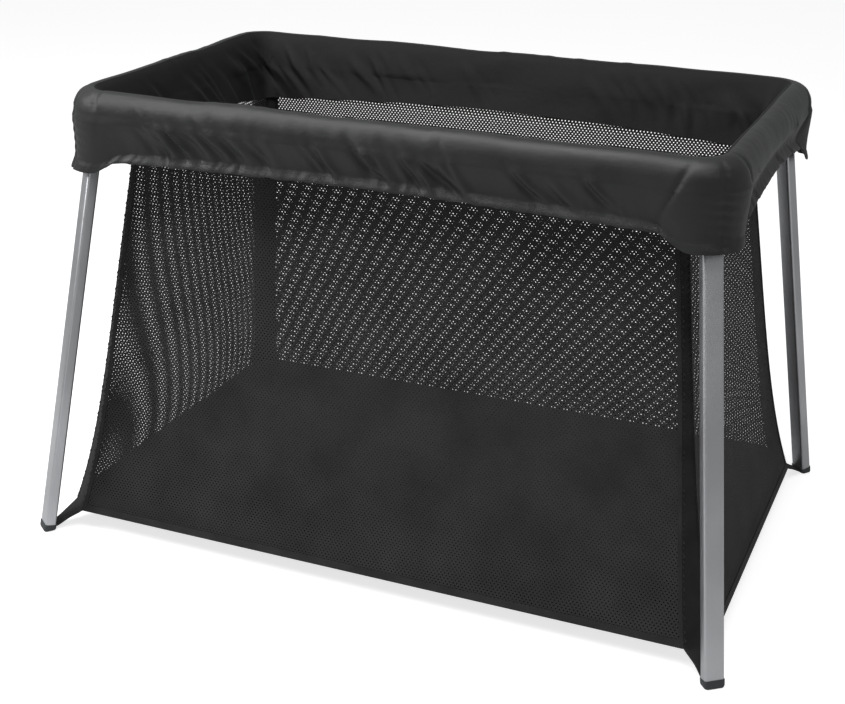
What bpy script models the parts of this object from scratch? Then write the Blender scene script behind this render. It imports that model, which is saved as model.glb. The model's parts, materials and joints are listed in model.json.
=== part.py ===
"""Folding travel play yard: a hinged tube frame on four splayed legs, with a fabric and net tub hung in it.

Metres, +Z up, origin on the floor at the middle of the yard. X runs along the length, Y across it.
The top frame is two U-shaped halves, hinged at the middle of the long rails on pins above the rails'
centre lines. A leg swings on a pin under each corner, in the upright plane of its own splay.
"""

import math

import bmesh
import bpy
from mathutils import Matrix, Vector

# ---- top frame ----
FRAME_LENGTH = 0.980  # between the centre lines of the two end rails
FRAME_WIDTH = 0.550  # between the centre lines of the two long rails
FRAME_HEIGHT = 0.690  # rail centre lines above the floor
RAIL_RADIUS = 0.013
RAIL_WALL = 0.0015
CORNER_RADIUS = 0.050  # bend of the rail centre line, in plan

# ---- plastic corner castings and centre brackets ----
SLEEVE_WALL = 0.0025
CASTING_SOCKET = 0.032
BRACKET_SOCKET = 0.034
BRACKET_SOLID = 0.026  # solid end that carries the latch button
BRACKET_GAP = 0.014  # from the fold pin to the bracket's end face
KNUCKLE_RADIUS = 0.007
FOLD_PIN_RADIUS = 0.0025
FOLD_PIN_RISE = 0.017  # fold pin above the rail's centre line
CLEVIS_TONGUE = 0.010
CLEVIS_EAR = 0.005

# ---- legs ----
LEG_SPREAD = 0.131  # how far a foot stands out from its pin, seen from above
LEG_PLAN_ANGLE = math.radians(38)  # splay direction, turned from Y towards X
LEG_PIN_DROP = 0.033  # leg pin below the rail's centre line
LEG_PIN_OFFSET = 0.002  # leg pin outside the middle of the corner's bend
LEG_WIDTH = 0.030
LEG_DEPTH = 0.018
LEG_WALL = 0.0015
LEG_EDGE = 0.004
LEG_PIN_RADIUS = 0.003
LEG_EAR = 0.004
LEG_HEAD = 0.024  # plastic head between the pin and the tube's end
LEG_PLUG = 0.035  # how far the head and the foot reach into the tube
FOOT_HEIGHT = 0.011
FOOT_PROUD = 0.0012

# ---- release buttons ----
BUTTON_RADIUS = 0.006
BUTTON_LENGTH = 0.0215
BUTTON_PROUD = 0.005
BUTTON_BORE = 0.027  # depth of the bore from the casting's surface
SPRING_RADIUS = 0.0040
SPRING_WIRE = 0.0005
SPRING_TURNS = 4

# ---- padded cover over the rail ----
COVER_CLOTH = 0.0025
COVER_OUT = 0.031  # outer skirt from the rail's centre line
COVER_IN = 0.031  # inner skirt from the rail's centre line
COVER_RISE = 0.032  # cover's top above the rail's centre line
SKIRT_DROP = 0.076  # outer hem below it
INNER_DROP = 0.070  # inner hem below it

# ---- fabric tub ----
TUB_TOP_END_INSET = 0.050  # tub's top inside the rail's centre line, at the ends
TUB_TOP_SIDE_INSET = 0.045
TUB_FLOOR_END_SPREAD = 0.050  # tub's floor outside the rail's centre line, at the ends
TUB_FLOOR_SIDE_SPREAD = 0.060
TUB_DROP = 0.074  # tub's top below the rail's centre line
TUB_HEM = 0.030
TUB_CLOTH = 0.0016
TUB_FLARE = 0.22  # share of the spread that comes in the curve near the floor
TUB_FLARE_POWER = 5
CORNER_CUT_TOP = 0.014  # the wall panels stop this far from the tub's corner, at the top
CORNER_CUT_FLOOR = 0.034
STRAP_CLOTH = 0.0020
MAT_THICKNESS = 0.024
MAT_CLEARANCE = 0.002  # between the mat and the walls
MAT_EDGE = 0.007

# ---- clearances ----
GAP = 0.0004  # between pieces that touch
BORE_GAP = 0.00035  # around a pin or a tube in its bore
ROUND = 16  # sides of the round pieces

LEG_TILT = math.atan2(LEG_SPREAD, FRAME_HEIGHT - LEG_PIN_DROP)
LEG_REACH = math.hypot(LEG_SPREAD, FRAME_HEIGHT - LEG_PIN_DROP)
SLEEVE_RADIUS = RAIL_RADIUS + BORE_GAP + SLEEVE_WALL
COVER_TOP = FRAME_HEIGHT + COVER_RISE
SKIRT_HEM = FRAME_HEIGHT - SKIRT_DROP
INNER_HEM = FRAME_HEIGHT - INNER_DROP
TUB_TOP = FRAME_HEIGHT - TUB_DROP
TUB_TOP_LENGTH = FRAME_LENGTH - 2 * TUB_TOP_END_INSET
TUB_TOP_WIDTH = FRAME_WIDTH - 2 * TUB_TOP_SIDE_INSET
TUB_FLOOR_LENGTH = FRAME_LENGTH + 2 * TUB_FLOOR_END_SPREAD
TUB_FLOOR_WIDTH = FRAME_WIDTH + 2 * TUB_FLOOR_SIDE_SPREAD
CORNERS = {
    "front_left": (-1, -1),
    "front_right": (1, -1),
    "back_left": (-1, 1),
    "back_right": (1, 1),
}
SIDES = {"left": -1, "right": 1}
LONG_SIDES = {"front": -1, "back": 1}

for old in list(bpy.data.objects):
    bpy.data.objects.remove(old)


def new_collection(name):
    made = bpy.data.collections.new(name)
    bpy.context.scene.collection.children.link(made)
    return made


YARD = new_collection("travel_play_yard")
CUTTERS = new_collection("cutters")


def new_material(name, color, roughness, metallic=0.0):
    made = bpy.data.materials.new(name)
    made.use_nodes = True
    shader = made.node_tree.nodes["Principled BSDF"]
    shader.inputs["Base Color"].default_value = (*color, 1.0)
    shader.inputs["Roughness"].default_value = roughness
    shader.inputs["Metallic"].default_value = metallic
    made.diffuse_color = (*color, 1.0)
    return made


ALUMINIUM = new_material("anodised_aluminium", (0.26, 0.27, 0.28), 0.42, 1.0)
RAIL_METAL = new_material("rail_aluminium", (0.42, 0.42, 0.43), 0.45, 1.0)
STEEL = new_material("pin_steel", (0.55, 0.55, 0.56), 0.30, 1.0)
BLACK_PLASTIC = new_material("black_plastic", (0.035, 0.040, 0.043), 0.50)
BUTTON_PLASTIC = new_material("button_plastic", (0.10, 0.10, 0.11), 0.45)
COVER_CLOTH_BLACK = new_material("cover_cloth", (0.020, 0.021, 0.023), 0.55)
NET_BLACK = new_material("net", (0.028, 0.028, 0.028), 0.85)
FLOOR_CLOTH = new_material("floor_cloth", (0.018, 0.017, 0.018), 0.85)
MAT_CLOTH = new_material("mat_cloth", (0.020, 0.019, 0.020), 0.90)
WEBBING = new_material("webbing", (0.016, 0.016, 0.017), 0.80)


# ---- modelling helpers ----


def place(name, mesh, material, matrix=None, parent=None):
    """Makes an object of the yard from a mesh. The matrix is in the parent's frame, if it has one."""
    made = bpy.data.objects.new(name, mesh)
    YARD.objects.link(made)
    mesh.materials.clear()
    mesh.materials.append(material)
    mesh.shade_smooth()
    mesh.set_sharp_from_angle(angle=math.radians(35))
    if parent:
        made.parent = parent
    if matrix:
        made.matrix_local = matrix
    return made


def empty(name, matrix):
    made = bpy.data.objects.new(name, None)
    made.empty_display_size = 0.03
    made.matrix_world = matrix
    YARD.objects.link(made)
    return made


def mesh_from(name, build):
    """Runs build(bm) on an empty bmesh and returns the mesh."""
    bm = bmesh.new()
    build(bm)
    mesh = bpy.data.meshes.new(name)
    bm.to_mesh(mesh)
    bm.free()
    return mesh


def guide(mesh, matrix=None):
    """A hidden object in the cutters collection."""
    made = bpy.data.objects.new(f"cutter_{mesh.name}", mesh)
    CUTTERS.objects.link(made)
    made.matrix_world = matrix or Matrix.Identity(4)
    made.hide_render = True
    made.display_type = "WIRE"
    return made


def combined(mesh, joined=(), cut=()):
    """The mesh with others joined to it and then cut from it, by exact Booleans."""
    body = guide(mesh)
    tools = [("UNION", guide(other)) for other in joined]
    tools += [("DIFFERENCE", guide(other)) for other in cut]
    for operation, tool in tools:
        step = body.modifiers.new(operation.lower(), "BOOLEAN")
        step.operation = operation
        step.object = tool
    return baked(body, [tool for _, tool in tools])


def baked(body, tools=()):
    """The evaluated mesh of a hidden object. The object and its tools are removed."""
    bpy.context.view_layer.update()
    result = bpy.data.meshes.new_from_object(
        body.evaluated_get(bpy.context.evaluated_depsgraph_get())
    )
    result.transform(body.matrix_world)
    for used in (body, *tools):
        bpy.data.objects.remove(used)
    return result


def welded(mesh, distance=1e-5):
    bm = bmesh.new()
    bm.from_mesh(mesh)
    bmesh.ops.remove_doubles(bm, verts=bm.verts, dist=distance)
    bm.to_mesh(mesh)
    bm.free()
    return mesh


def moved(mesh, matrix):
    """A copy of the mesh, moved. A mirrored copy keeps its faces pointing out."""
    copy = mesh.copy()
    copy.transform(matrix)
    if matrix.determinant() < 0:
        copy.flip_normals()
    return copy


def mirror_matrix(sign_x, sign_y):
    return Matrix.Diagonal((sign_x, sign_y, 1, 1))


def along(start, end):
    """A frame whose Z axis runs from start to end, with its origin halfway."""
    start, end = Vector(start), Vector(end)
    turn = (end - start).to_track_quat("Z", "Y").to_matrix().to_4x4()
    return Matrix.Translation((start + end) / 2) @ turn


def rod(name, start, end, radius, sides=ROUND):
    """A solid round bar between two points."""
    length = (Vector(end) - Vector(start)).length

    def build(bm):
        bmesh.ops.create_cone(
            bm,
            cap_ends=True,
            segments=sides,
            radius1=radius,
            radius2=radius,
            depth=length,
            matrix=along(start, end),
        )

    return mesh_from(name, build)


def hollow_tube(name, start, end, radius, wall):
    """An open-ended round tube: an open cylinder given its wall inwards."""
    length = (Vector(end) - Vector(start)).length

    def build(bm):
        bmesh.ops.create_cone(
            bm,
            cap_ends=False,
            segments=ROUND,
            radius1=radius,
            radius2=radius,
            depth=length,
            matrix=along(start, end),
        )

    return thickened(mesh_from(name, build), wall, -1.0)


def thickened(mesh, wall, offset):
    body = guide(mesh)
    shell = body.modifiers.new("wall", "SOLIDIFY")
    shell.thickness = wall
    shell.offset = offset
    shell.use_even_offset = True
    return baked(body)


def surface(name, rows):
    """An open surface through rows of points, each row with the same number of points."""

    def build(bm):
        grid = [[bm.verts.new(point) for point in row] for row in rows]
        for low, high in zip(grid, grid[1:]):
            for a, b, c, d in zip(low, low[1:], high[1:], high):
                bm.faces.new((a, b, c, d))

    return mesh_from(name, build)


def prism(name, outline, thickness, matrix):
    """A flat plate: a filled outline in the XY plane of the matrix, with half its thickness each way."""
    curve = bpy.data.curves.new(name, "CURVE")
    curve.dimensions = "2D"
    curve.fill_mode = "BOTH"
    curve.extrude = thickness / 2
    curve.resolution_u = 1
    spline = curve.splines.new("POLY")
    spline.points.add(len(outline) - 1)
    for point, (x, y) in zip(spline.points, outline):
        point.co = (x, y, 0, 1)
    spline.use_cyclic_u = True
    mesh = welded(baked(guide(curve, matrix)))
    return outward(mesh)


def outward(mesh):
    bm = bmesh.new()
    bm.from_mesh(mesh)
    bmesh.ops.recalc_face_normals(bm, faces=bm.faces)
    bm.to_mesh(mesh)
    bm.free()
    return mesh


def arc(centre, radius, start, end, steps):
    """Points on a circular arc in a plane, its angles in degrees."""
    points = []
    for step in range(steps + 1):
        angle = math.radians(start + (end - start) * step / steps)
        points.append(
            (
                centre[0] + radius * math.cos(angle),
                centre[1] + radius * math.sin(angle),
            )
        )
    return points


# ---- where things are, for the corner at +X +Y ----

HALF_LENGTH = FRAME_LENGTH / 2
HALF_WIDTH = FRAME_WIDTH / 2
BEND = Vector((HALF_LENGTH - CORNER_RADIUS, HALF_WIDTH - CORNER_RADIUS, FRAME_HEIGHT))
OUTWARD = Vector((math.sin(LEG_PLAN_ANGLE), math.cos(LEG_PLAN_ANGLE), 0))
HINGE_AXIS = Vector((-OUTWARD.y, OUTWARD.x, 0))
BEND_POINT = BEND + Vector((1, 1, 0)).normalized() * CORNER_RADIUS
LEG_PIN = BEND_POINT + OUTWARD * LEG_PIN_OFFSET - Vector((0, 0, LEG_PIN_DROP))
FOLD_PIN_HEIGHT = FRAME_HEIGHT + FOLD_PIN_RISE
SOCKET_END = 0.002  # solid between the socket and the start of the bend


def leg_frame(sign_x, sign_y):
    """A leg's own frame: origin on its pin, Z up the leg, X along the hinge axis, Y out of the yard."""
    out = Vector((OUTWARD.x * sign_x, OUTWARD.y * sign_y, 0))
    axis = Vector((-out.y, out.x, 0))
    up = (Matrix.Rotation(-LEG_TILT, 3, axis) @ Vector((0, 0, 1))).normalized()
    side = up.cross(axis)
    turn = Matrix((axis, side, up)).transposed().to_4x4()
    pin = Vector((LEG_PIN.x * sign_x, LEG_PIN.y * sign_y, LEG_PIN.z))
    return Matrix.Translation(pin) @ turn


# ---- rails ----


def long_rail(sign_x, sign_y, name):
    start = BRACKET_GAP + BRACKET_SOLID + GAP
    end = BEND.x - SOCKET_END - GAP
    mesh = hollow_tube(
        name,
        (sign_x * start, sign_y * HALF_WIDTH, FRAME_HEIGHT),
        (sign_x * end, sign_y * HALF_WIDTH, FRAME_HEIGHT),
        RAIL_RADIUS,
        RAIL_WALL,
    )
    place(name, mesh, RAIL_METAL)


def end_rail(sign_x, name):
    reach = BEND.y - SOCKET_END - GAP
    mesh = hollow_tube(
        name,
        (sign_x * HALF_LENGTH, -reach, FRAME_HEIGHT),
        (sign_x * HALF_LENGTH, reach, FRAME_HEIGHT),
        RAIL_RADIUS,
        RAIL_WALL,
    )
    place(name, mesh, RAIL_METAL)


# ---- corner castings ----


def elbow():
    """The bent sleeve, as a bevelled curve made a mesh."""
    path = [(BEND.x - CASTING_SOCKET, HALF_WIDTH)]
    path += arc((BEND.x, BEND.y), CORNER_RADIUS, 90, 0, 8)
    path += [(HALF_LENGTH, BEND.y - CASTING_SOCKET)]
    curve = bpy.data.curves.new("elbow", "CURVE")
    curve.dimensions = "3D"
    curve.bevel_depth = SLEEVE_RADIUS
    curve.bevel_resolution = 6
    curve.use_fill_caps = True
    spline = curve.splines.new("POLY")
    spline.points.add(len(path) - 1)
    for point, (x, y) in zip(spline.points, path):
        point.co = (x, y, FRAME_HEIGHT, 1)
    return outward(welded(baked(guide(curve))))


def ear_outline(radius, top):
    """Round below the pin and straight above it."""
    return arc((0, 0), radius, 180, 360, 10) + [(radius, top), (-radius, top)]


def corner_casting():
    """The casting at the +X +Y corner: bent sleeve, two ears for the leg and a bore for the button."""
    body = elbow()
    ear_radius = LEG_DEPTH / 2 + 0.002
    ear_middle = LEG_WIDTH / 2 + GAP + LEG_EAR / 2
    # the ears' plates lie in the plane of OUTWARD and Z
    upright = Matrix((OUTWARD, Vector((0, 0, 1)), OUTWARD.cross(Vector((0, 0, 1)))))
    upright = upright.transposed().to_4x4()
    joined = []
    for side in (-1, 1):
        spot = LEG_PIN + HINGE_AXIS * side * ear_middle
        outline = ear_outline(ear_radius, LEG_PIN_DROP - SLEEVE_RADIUS * 0.4)
        matrix = Matrix.Translation(spot) @ upright
        joined.append(prism("ear", outline, LEG_EAR, matrix))
    half_pin = ear_middle + LEG_EAR
    bore = RAIL_RADIUS + BORE_GAP
    overrun = 0.005
    cut = [
        rod(
            "pin_hole",
            LEG_PIN - HINGE_AXIS * half_pin,
            LEG_PIN + HINGE_AXIS * half_pin,
            LEG_PIN_RADIUS + BORE_GAP,
        ),
        rod(
            "long_socket",
            (BEND.x - CASTING_SOCKET - overrun, HALF_WIDTH, FRAME_HEIGHT),
            (BEND.x - SOCKET_END, HALF_WIDTH, FRAME_HEIGHT),
            bore,
        ),
        rod(
            "end_socket",
            (HALF_LENGTH, BEND.y - CASTING_SOCKET - overrun, FRAME_HEIGHT),
            (HALF_LENGTH, BEND.y - SOCKET_END, FRAME_HEIGHT),
            bore,
        ),
        rod(
            "button_bore",
            BEND_POINT + OUTWARD * (SLEEVE_RADIUS - BUTTON_BORE),
            BEND_POINT + OUTWARD * (SLEEVE_RADIUS + overrun),
            BUTTON_RADIUS + BORE_GAP,
        ),
    ]
    return combined(body, joined, cut)


# ---- centre brackets on the long rails, with the fold hinge ----


def bracket(ear_places, ear_width, name):
    """The bracket on the +X side at y = 0: sleeve, hinge ears above it, latch bore through its solid end."""
    mouth = BRACKET_GAP + BRACKET_SOLID + BRACKET_SOCKET
    body = rod(
        name, (BRACKET_GAP, 0, FRAME_HEIGHT), (mouth, 0, FRAME_HEIGHT), SLEEVE_RADIUS
    )
    joined = []
    root = 0.004  # how far the ears reach into the sleeve
    upright = Matrix.Rotation(math.radians(90), 4, "X")
    for y in ear_places:
        outline = arc((0, 0), KNUCKLE_RADIUS, 20, 320, 12)
        outline += [
            (BRACKET_GAP + root, -FOLD_PIN_RISE * 0.6),
            (BRACKET_GAP + root, -0.003),
            (BRACKET_GAP - 0.005, -0.003),
        ]
        matrix = Matrix.Translation((0, y, FOLD_PIN_HEIGHT)) @ upright
        joined.append(prism("hinge_ear", outline, ear_width, matrix))
    half = CLEVIS_TONGUE / 2 + GAP + CLEVIS_EAR + 0.01
    middle = BRACKET_GAP + BRACKET_SOLID / 2
    surface_y = SLEEVE_RADIUS
    cut = [
        rod(
            "fold_hole",
            (0, -half, FOLD_PIN_HEIGHT),
            (0, half, FOLD_PIN_HEIGHT),
            FOLD_PIN_RADIUS + BORE_GAP,
        ),
        rod(
            "rail_socket",
            (BRACKET_GAP + BRACKET_SOLID, 0, FRAME_HEIGHT),
            (mouth + 0.005, 0, FRAME_HEIGHT),
            RAIL_RADIUS + BORE_GAP,
        ),
    ]
    if len(ear_places) == 2:
        cut.append(
            rod(
                "latch_bore",
                (middle, surface_y - BUTTON_BORE, FRAME_HEIGHT),
                (middle, surface_y + 0.005, FRAME_HEIGHT),
                BUTTON_RADIUS + BORE_GAP,
            )
        )
    return combined(body, joined, cut)


# ---- release buttons and their springs ----


def button_mesh():
    """A round button on the Z axis, pushed towards -Z. Z = 0 is the surface that it stands out of."""
    edge = 0.0015
    inner = BUTTON_PROUD - BUTTON_LENGTH
    profile = [
        (0, BUTTON_PROUD),
        (BUTTON_RADIUS - edge, BUTTON_PROUD),
        (BUTTON_RADIUS - edge * 0.3, BUTTON_PROUD - edge * 0.3),
        (BUTTON_RADIUS, BUTTON_PROUD - edge),
        (BUTTON_RADIUS, inner),
        (0, inner),
    ]
    return turned("button", profile)


def turned(name, profile):
    """A solid of revolution about Z from a profile of (radius, height) points."""
    mesh = mesh_from(name, lambda bm: draw_profile(bm, profile))
    body = guide(mesh)
    screw = body.modifiers.new("turn", "SCREW")
    screw.steps = ROUND
    screw.render_steps = ROUND
    screw.use_merge_vertices = True
    screw.merge_threshold = 0.0001
    return outward(welded(baked(body)))


def draw_profile(bm, profile):
    points = [bm.verts.new((radius, 0, height)) for radius, height in profile]
    for a, b in zip(points, points[1:]):
        bm.edges.new((a, b))


def spring_mesh():
    """A coil on the Z axis between the button's inner end and the bottom of the bore."""
    high = BUTTON_PROUD - BUTTON_LENGTH - GAP - SPRING_WIRE
    low = GAP + SPRING_WIRE - BUTTON_BORE
    steps = SPRING_TURNS * 8
    curve = bpy.data.curves.new("spring", "CURVE")
    curve.dimensions = "3D"
    curve.bevel_depth = SPRING_WIRE
    curve.bevel_resolution = 0
    curve.use_fill_caps = True
    spline = curve.splines.new("POLY")
    spline.points.add(steps)
    for step, point in enumerate(spline.points):
        angle = math.tau * step / 8
        height = low + (high - low) * step / steps
        point.co = (
            SPRING_RADIUS * math.cos(angle),
            SPRING_RADIUS * math.sin(angle),
            height,
            1,
        )
    return outward(welded(baked(guide(curve))))


def add_button(name, surface_point, out):
    """A button that stands out of a surface, with its spring behind it."""
    turn = out.to_track_quat("Z", "Y").to_matrix().to_4x4()
    matrix = Matrix.Translation(surface_point) @ turn
    place(f"{name}_button", BUTTON.copy(), BUTTON_PLASTIC, matrix)
    place(f"{name}_spring", SPRING.copy(), STEEL, matrix)


# ---- legs, in their own frame ----


def rounded_rectangle(width, depth, edge, steps=3):
    half_x, half_y = width / 2 - edge, depth / 2 - edge
    points = []
    for sign_x, sign_y, start in ((1, 1, 0), (-1, 1, 90), (-1, -1, 180), (1, -1, 270)):
        centre = (sign_x * half_x, sign_y * half_y)
        points += arc(centre, edge, start, start + 90, steps)
    return points


def leg_tube_mesh():
    """The rectangular tube: an open extruded outline given its wall inwards."""
    outline = rounded_rectangle(LEG_WIDTH, LEG_DEPTH, LEG_EDGE)
    outline.append(outline[0])
    top = -LEG_HEAD - GAP
    bottom = FOOT_HEIGHT / math.cos(LEG_TILT) + GAP - LEG_REACH
    rows = [[(x, y, z) for x, y in outline] for z in (bottom, top)]
    return thickened(welded(surface("leg_tube", rows)), LEG_WALL, -1.0)


def plug_matrix(low, high):
    return Matrix.Translation((0, 0, (low + high) / 2))


def leg_plug(low, high):
    """The part of the head or foot that fills the tube."""
    width = LEG_WIDTH - 2 * (LEG_WALL + BORE_GAP)
    depth = LEG_DEPTH - 2 * (LEG_WALL + BORE_GAP)
    outline = rounded_rectangle(width, depth, LEG_EDGE - LEG_WALL)
    return prism("plug", outline, high - low, plug_matrix(low, high))


def leg_head_mesh():
    """The plastic head: a rounded knuckle on the pin, above a plug in the tube."""
    to_side = Matrix((Vector((0, 1, 0)), Vector((0, 0, 1)), Vector((1, 0, 0))))
    matrix = to_side.transposed().to_4x4()
    radius = LEG_DEPTH / 2
    outline = arc((0, 0), radius, 0, 180, 10)
    outline += [(-radius, -LEG_HEAD), (radius, -LEG_HEAD)]
    head = prism("head", outline, LEG_WIDTH - 2 * GAP, matrix)
    plug = leg_plug(-LEG_HEAD - LEG_PLUG, -LEG_HEAD + 0.004)
    half = LEG_WIDTH / 2 + 0.005
    hole = rod("hole", (-half, 0, 0), (half, 0, 0), LEG_PIN_RADIUS + BORE_GAP)
    return combined(head, [plug], [hole])


def foot_mesh():
    """The foot cap: a plug in the tube and a shoe whose sole is flat on the floor."""
    top = FOOT_HEIGHT / math.cos(LEG_TILT) - LEG_REACH
    low = -LEG_REACH - LEG_DEPTH
    width = LEG_WIDTH + 2 * FOOT_PROUD
    depth = LEG_DEPTH + 2 * FOOT_PROUD
    outline = rounded_rectangle(width, depth, LEG_EDGE)
    shoe = prism("shoe", outline, top - low, plug_matrix(low, top))
    whole = combined(shoe, [leg_plug(top - 0.004, top + LEG_PLUG)])
    # the floor, in the leg's own frame
    floor_normal = leg_frame(1, 1).to_3x3().transposed() @ Vector((0, 0, 1))
    floor_point = leg_frame(1, 1).inverted() @ Vector((0, 0, 0))
    bm = bmesh.new()
    bm.from_mesh(whole)
    cut = bmesh.ops.bisect_plane(
        bm,
        geom=bm.verts[:] + bm.edges[:] + bm.faces[:],
        dist=1e-6,
        plane_co=floor_point,
        plane_no=-floor_normal,
        clear_outer=True,
    )
    rim = [item for item in cut["geom_cut"] if isinstance(item, bmesh.types.BMEdge)]
    bmesh.ops.contextual_create(bm, geom=rim)
    bm.to_mesh(whole)
    bm.free()
    return outward(whole)


# ---- padded cover ----


def cover_profile():
    """Half-round over the rail with a skirt on each side: (outwards from the rail, height)."""
    shoulder = COVER_TOP - COVER_OUT
    half_cloth = COVER_CLOTH / 2
    out, inside = COVER_OUT - half_cloth, COVER_IN - half_cloth
    top = COVER_TOP - half_cloth
    points = [(out, SKIRT_HEM), (out, (SKIRT_HEM + shoulder) / 2)]
    for step in range(9):
        angle = math.pi * step / 8
        across = out if angle < math.pi / 2 else inside
        points.append(
            (across * math.cos(angle), shoulder + (top - shoulder) * math.sin(angle))
        )
    points += [(-inside, (INNER_HEM + shoulder) / 2), (-inside, INNER_HEM)]
    return points


def cover_mesh():
    """The cover of the +X half: the profile swept round the U of the rails."""
    path = [((GAP, HALF_WIDTH), (0, 1))]
    for fraction in (1 / 3, 2 / 3):
        path.append(((BEND.x * fraction, HALF_WIDTH), (0, 1)))
    for step in range(7):
        angle = math.pi / 2 * (1 - step / 6)
        out = (math.cos(angle), math.sin(angle))
        path.append(
            (
                (BEND.x + CORNER_RADIUS * out[0], BEND.y + CORNER_RADIUS * out[1]),
                out,
            )
        )
    path.append(((HALF_LENGTH, 0), (1, 0)))
    for (x, y), (out_x, out_y) in path[-2::-1]:
        path.append(((x, -y), (out_x, -out_y)))
    rows = []
    for (x, y), (out_x, out_y) in path:
        rows.append(
            [(x + out_x * d, y + out_y * d, z) for d, z in reversed(cover_profile())]
        )
    return thickened(surface("cover", rows), COVER_CLOTH, 0.0)


# ---- tub ----


def tub_half_sizes(height):
    """Half the tub's length and width at a height. The walls lean out and flare near the floor."""
    share = (TUB_TOP - height) / (TUB_TOP - TUB_HEM)
    flare = (1 - TUB_FLARE) * share + TUB_FLARE * share**TUB_FLARE_POWER
    length = TUB_TOP_LENGTH + (TUB_FLOOR_LENGTH - TUB_TOP_LENGTH) * flare
    width = TUB_TOP_WIDTH + (TUB_FLOOR_WIDTH - TUB_TOP_WIDTH) * flare
    return length / 2, width / 2


def corner_cut(height):
    """How far the wall panels stay from the tub's corner at a height."""
    share = (TUB_TOP - height) / (TUB_TOP - TUB_HEM)
    return CORNER_CUT_TOP + (CORNER_CUT_FLOOR - CORNER_CUT_TOP) * share**3


def tub_heights(steps=9):
    fall = TUB_TOP - TUB_HEM
    return [TUB_TOP - fall * (step / steps) ** 0.8 for step in range(steps + 1)]


def long_wall_mesh():
    """The +X half of the wall at +Y."""
    rows = []
    for height in tub_heights():
        half_x, half_y = tub_half_sizes(height)
        reach = half_x - corner_cut(height) - GAP
        row = []
        for step in range(5):
            row.append((GAP + (reach - GAP) * step / 4, half_y, height))
        rows.append(row)
    return thickened(surface("long_wall", rows), TUB_CLOTH, 0.0)


def end_wall_mesh():
    """The wall at +X."""
    rows = []
    for height in tub_heights():
        half_x, half_y = tub_half_sizes(height)
        reach = half_y - corner_cut(height) - GAP
        row = []
        for step in range(5):
            row.append((half_x, reach - 2 * reach * step / 4, height))
        rows.append(row)
    return thickened(surface("end_wall", rows), TUB_CLOTH, 0.0)


def floor_outline(top, clearance):
    """The +X half of a panel that lies between the walls, with its corners cut off. Top is its upper face."""
    half_x, half_y = tub_half_sizes(top)
    half_x -= clearance + TUB_CLOTH / 2
    half_y -= clearance + TUB_CLOTH / 2
    cut = CORNER_CUT_FLOOR
    return [
        (GAP, -half_y),
        (half_x - cut, -half_y),
        (half_x, -half_y + cut),
        (half_x, half_y - cut),
        (half_x - cut, half_y),
        (GAP, half_y),
    ]


def floor_mesh():
    outline = floor_outline(TUB_HEM + TUB_CLOTH, 2 * GAP)
    return prism(
        "floor",
        outline,
        TUB_CLOTH,
        Matrix.Translation((0, 0, TUB_HEM + TUB_CLOTH / 2)),
    )


def mat_mesh():
    """One of the two padded panels of the mat, with rounded edges."""
    low = TUB_HEM + TUB_CLOTH + GAP
    outline = floor_outline(low + MAT_THICKNESS, MAT_CLEARANCE)
    middle = Matrix.Translation((0, 0, low + MAT_THICKNESS / 2))
    mesh = prism("mat", outline, MAT_THICKNESS, middle)
    bm = bmesh.new()
    bm.from_mesh(mesh)
    bmesh.ops.dissolve_limit(
        bm, angle_limit=math.radians(1), verts=bm.verts, edges=bm.edges
    )
    bmesh.ops.bevel(
        bm,
        geom=bm.edges[:],
        offset=MAT_EDGE,
        segments=2,
        profile=0.5,
        affect="EDGES",
        clamp_overlap=True,
    )
    bm.to_mesh(mesh)
    bm.free()
    return mesh


def corner_strap_mesh():
    """Binding down the tub's cut-off corner, which runs on as a strap to the foot."""
    rows = []
    for height in tub_heights():
        half_x, half_y = tub_half_sizes(height)
        cut = corner_cut(height) - STRAP_CLOTH - TUB_CLOTH / 2
        rows.append([(half_x, half_y - cut, height), (half_x - cut, half_y, height)])
    # the strap's end, against the inner face of the foot
    foot = Vector((LEG_PIN.x, LEG_PIN.y, 0)) + OUTWARD * LEG_SPREAD
    spread = LEG_DEPTH / 2 + FOOT_PROUD
    strap_height = FOOT_HEIGHT * 0.5
    lean = strap_height * math.tan(LEG_TILT)
    back = spread / math.cos(LEG_TILT) + lean + STRAP_CLOTH + GAP
    end = foot - OUTWARD * back + Vector((0, 0, strap_height))
    half = CORNER_CUT_FLOOR * 0.4
    rows.append([tuple(end - HINGE_AXIS * half), tuple(end + HINGE_AXIS * half)])
    return thickened(surface("strap", rows), STRAP_CLOTH, 0.0)


# ---- assembly ----

BUTTON = button_mesh()
SPRING = spring_mesh()
CASTING = corner_casting()
LEG_TUBE = leg_tube_mesh()
LEG_HEAD_MESH = leg_head_mesh()
FOOT = foot_mesh()
LONG_WALL = long_wall_mesh()
STRAP = corner_strap_mesh()


def add_half(half_name, sign_x):
    """One half of the frame, with the cover and the tub panels that hang from it."""
    mirrored = mirror_matrix(sign_x, 1)
    for side_name, sign_y in LONG_SIDES.items():
        long_rail(sign_x, sign_y, f"rail_{side_name}_{half_name}")
        wall = moved(LONG_WALL, mirror_matrix(sign_x, sign_y))
        place(f"wall_{side_name}_{half_name}", wall, NET_BLACK)
    end_rail(sign_x, f"rail_end_{half_name}")
    soft = {
        "cover": (cover_mesh(), COVER_CLOTH_BLACK),
        "wall_end": (end_wall_mesh(), NET_BLACK),
        "floor": (floor_mesh(), FLOOR_CLOTH),
        "mat": (mat_mesh(), MAT_CLOTH),
    }
    for name, (mesh, material) in soft.items():
        place(f"{name}_{half_name}", moved(mesh, mirrored), material)


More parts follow.
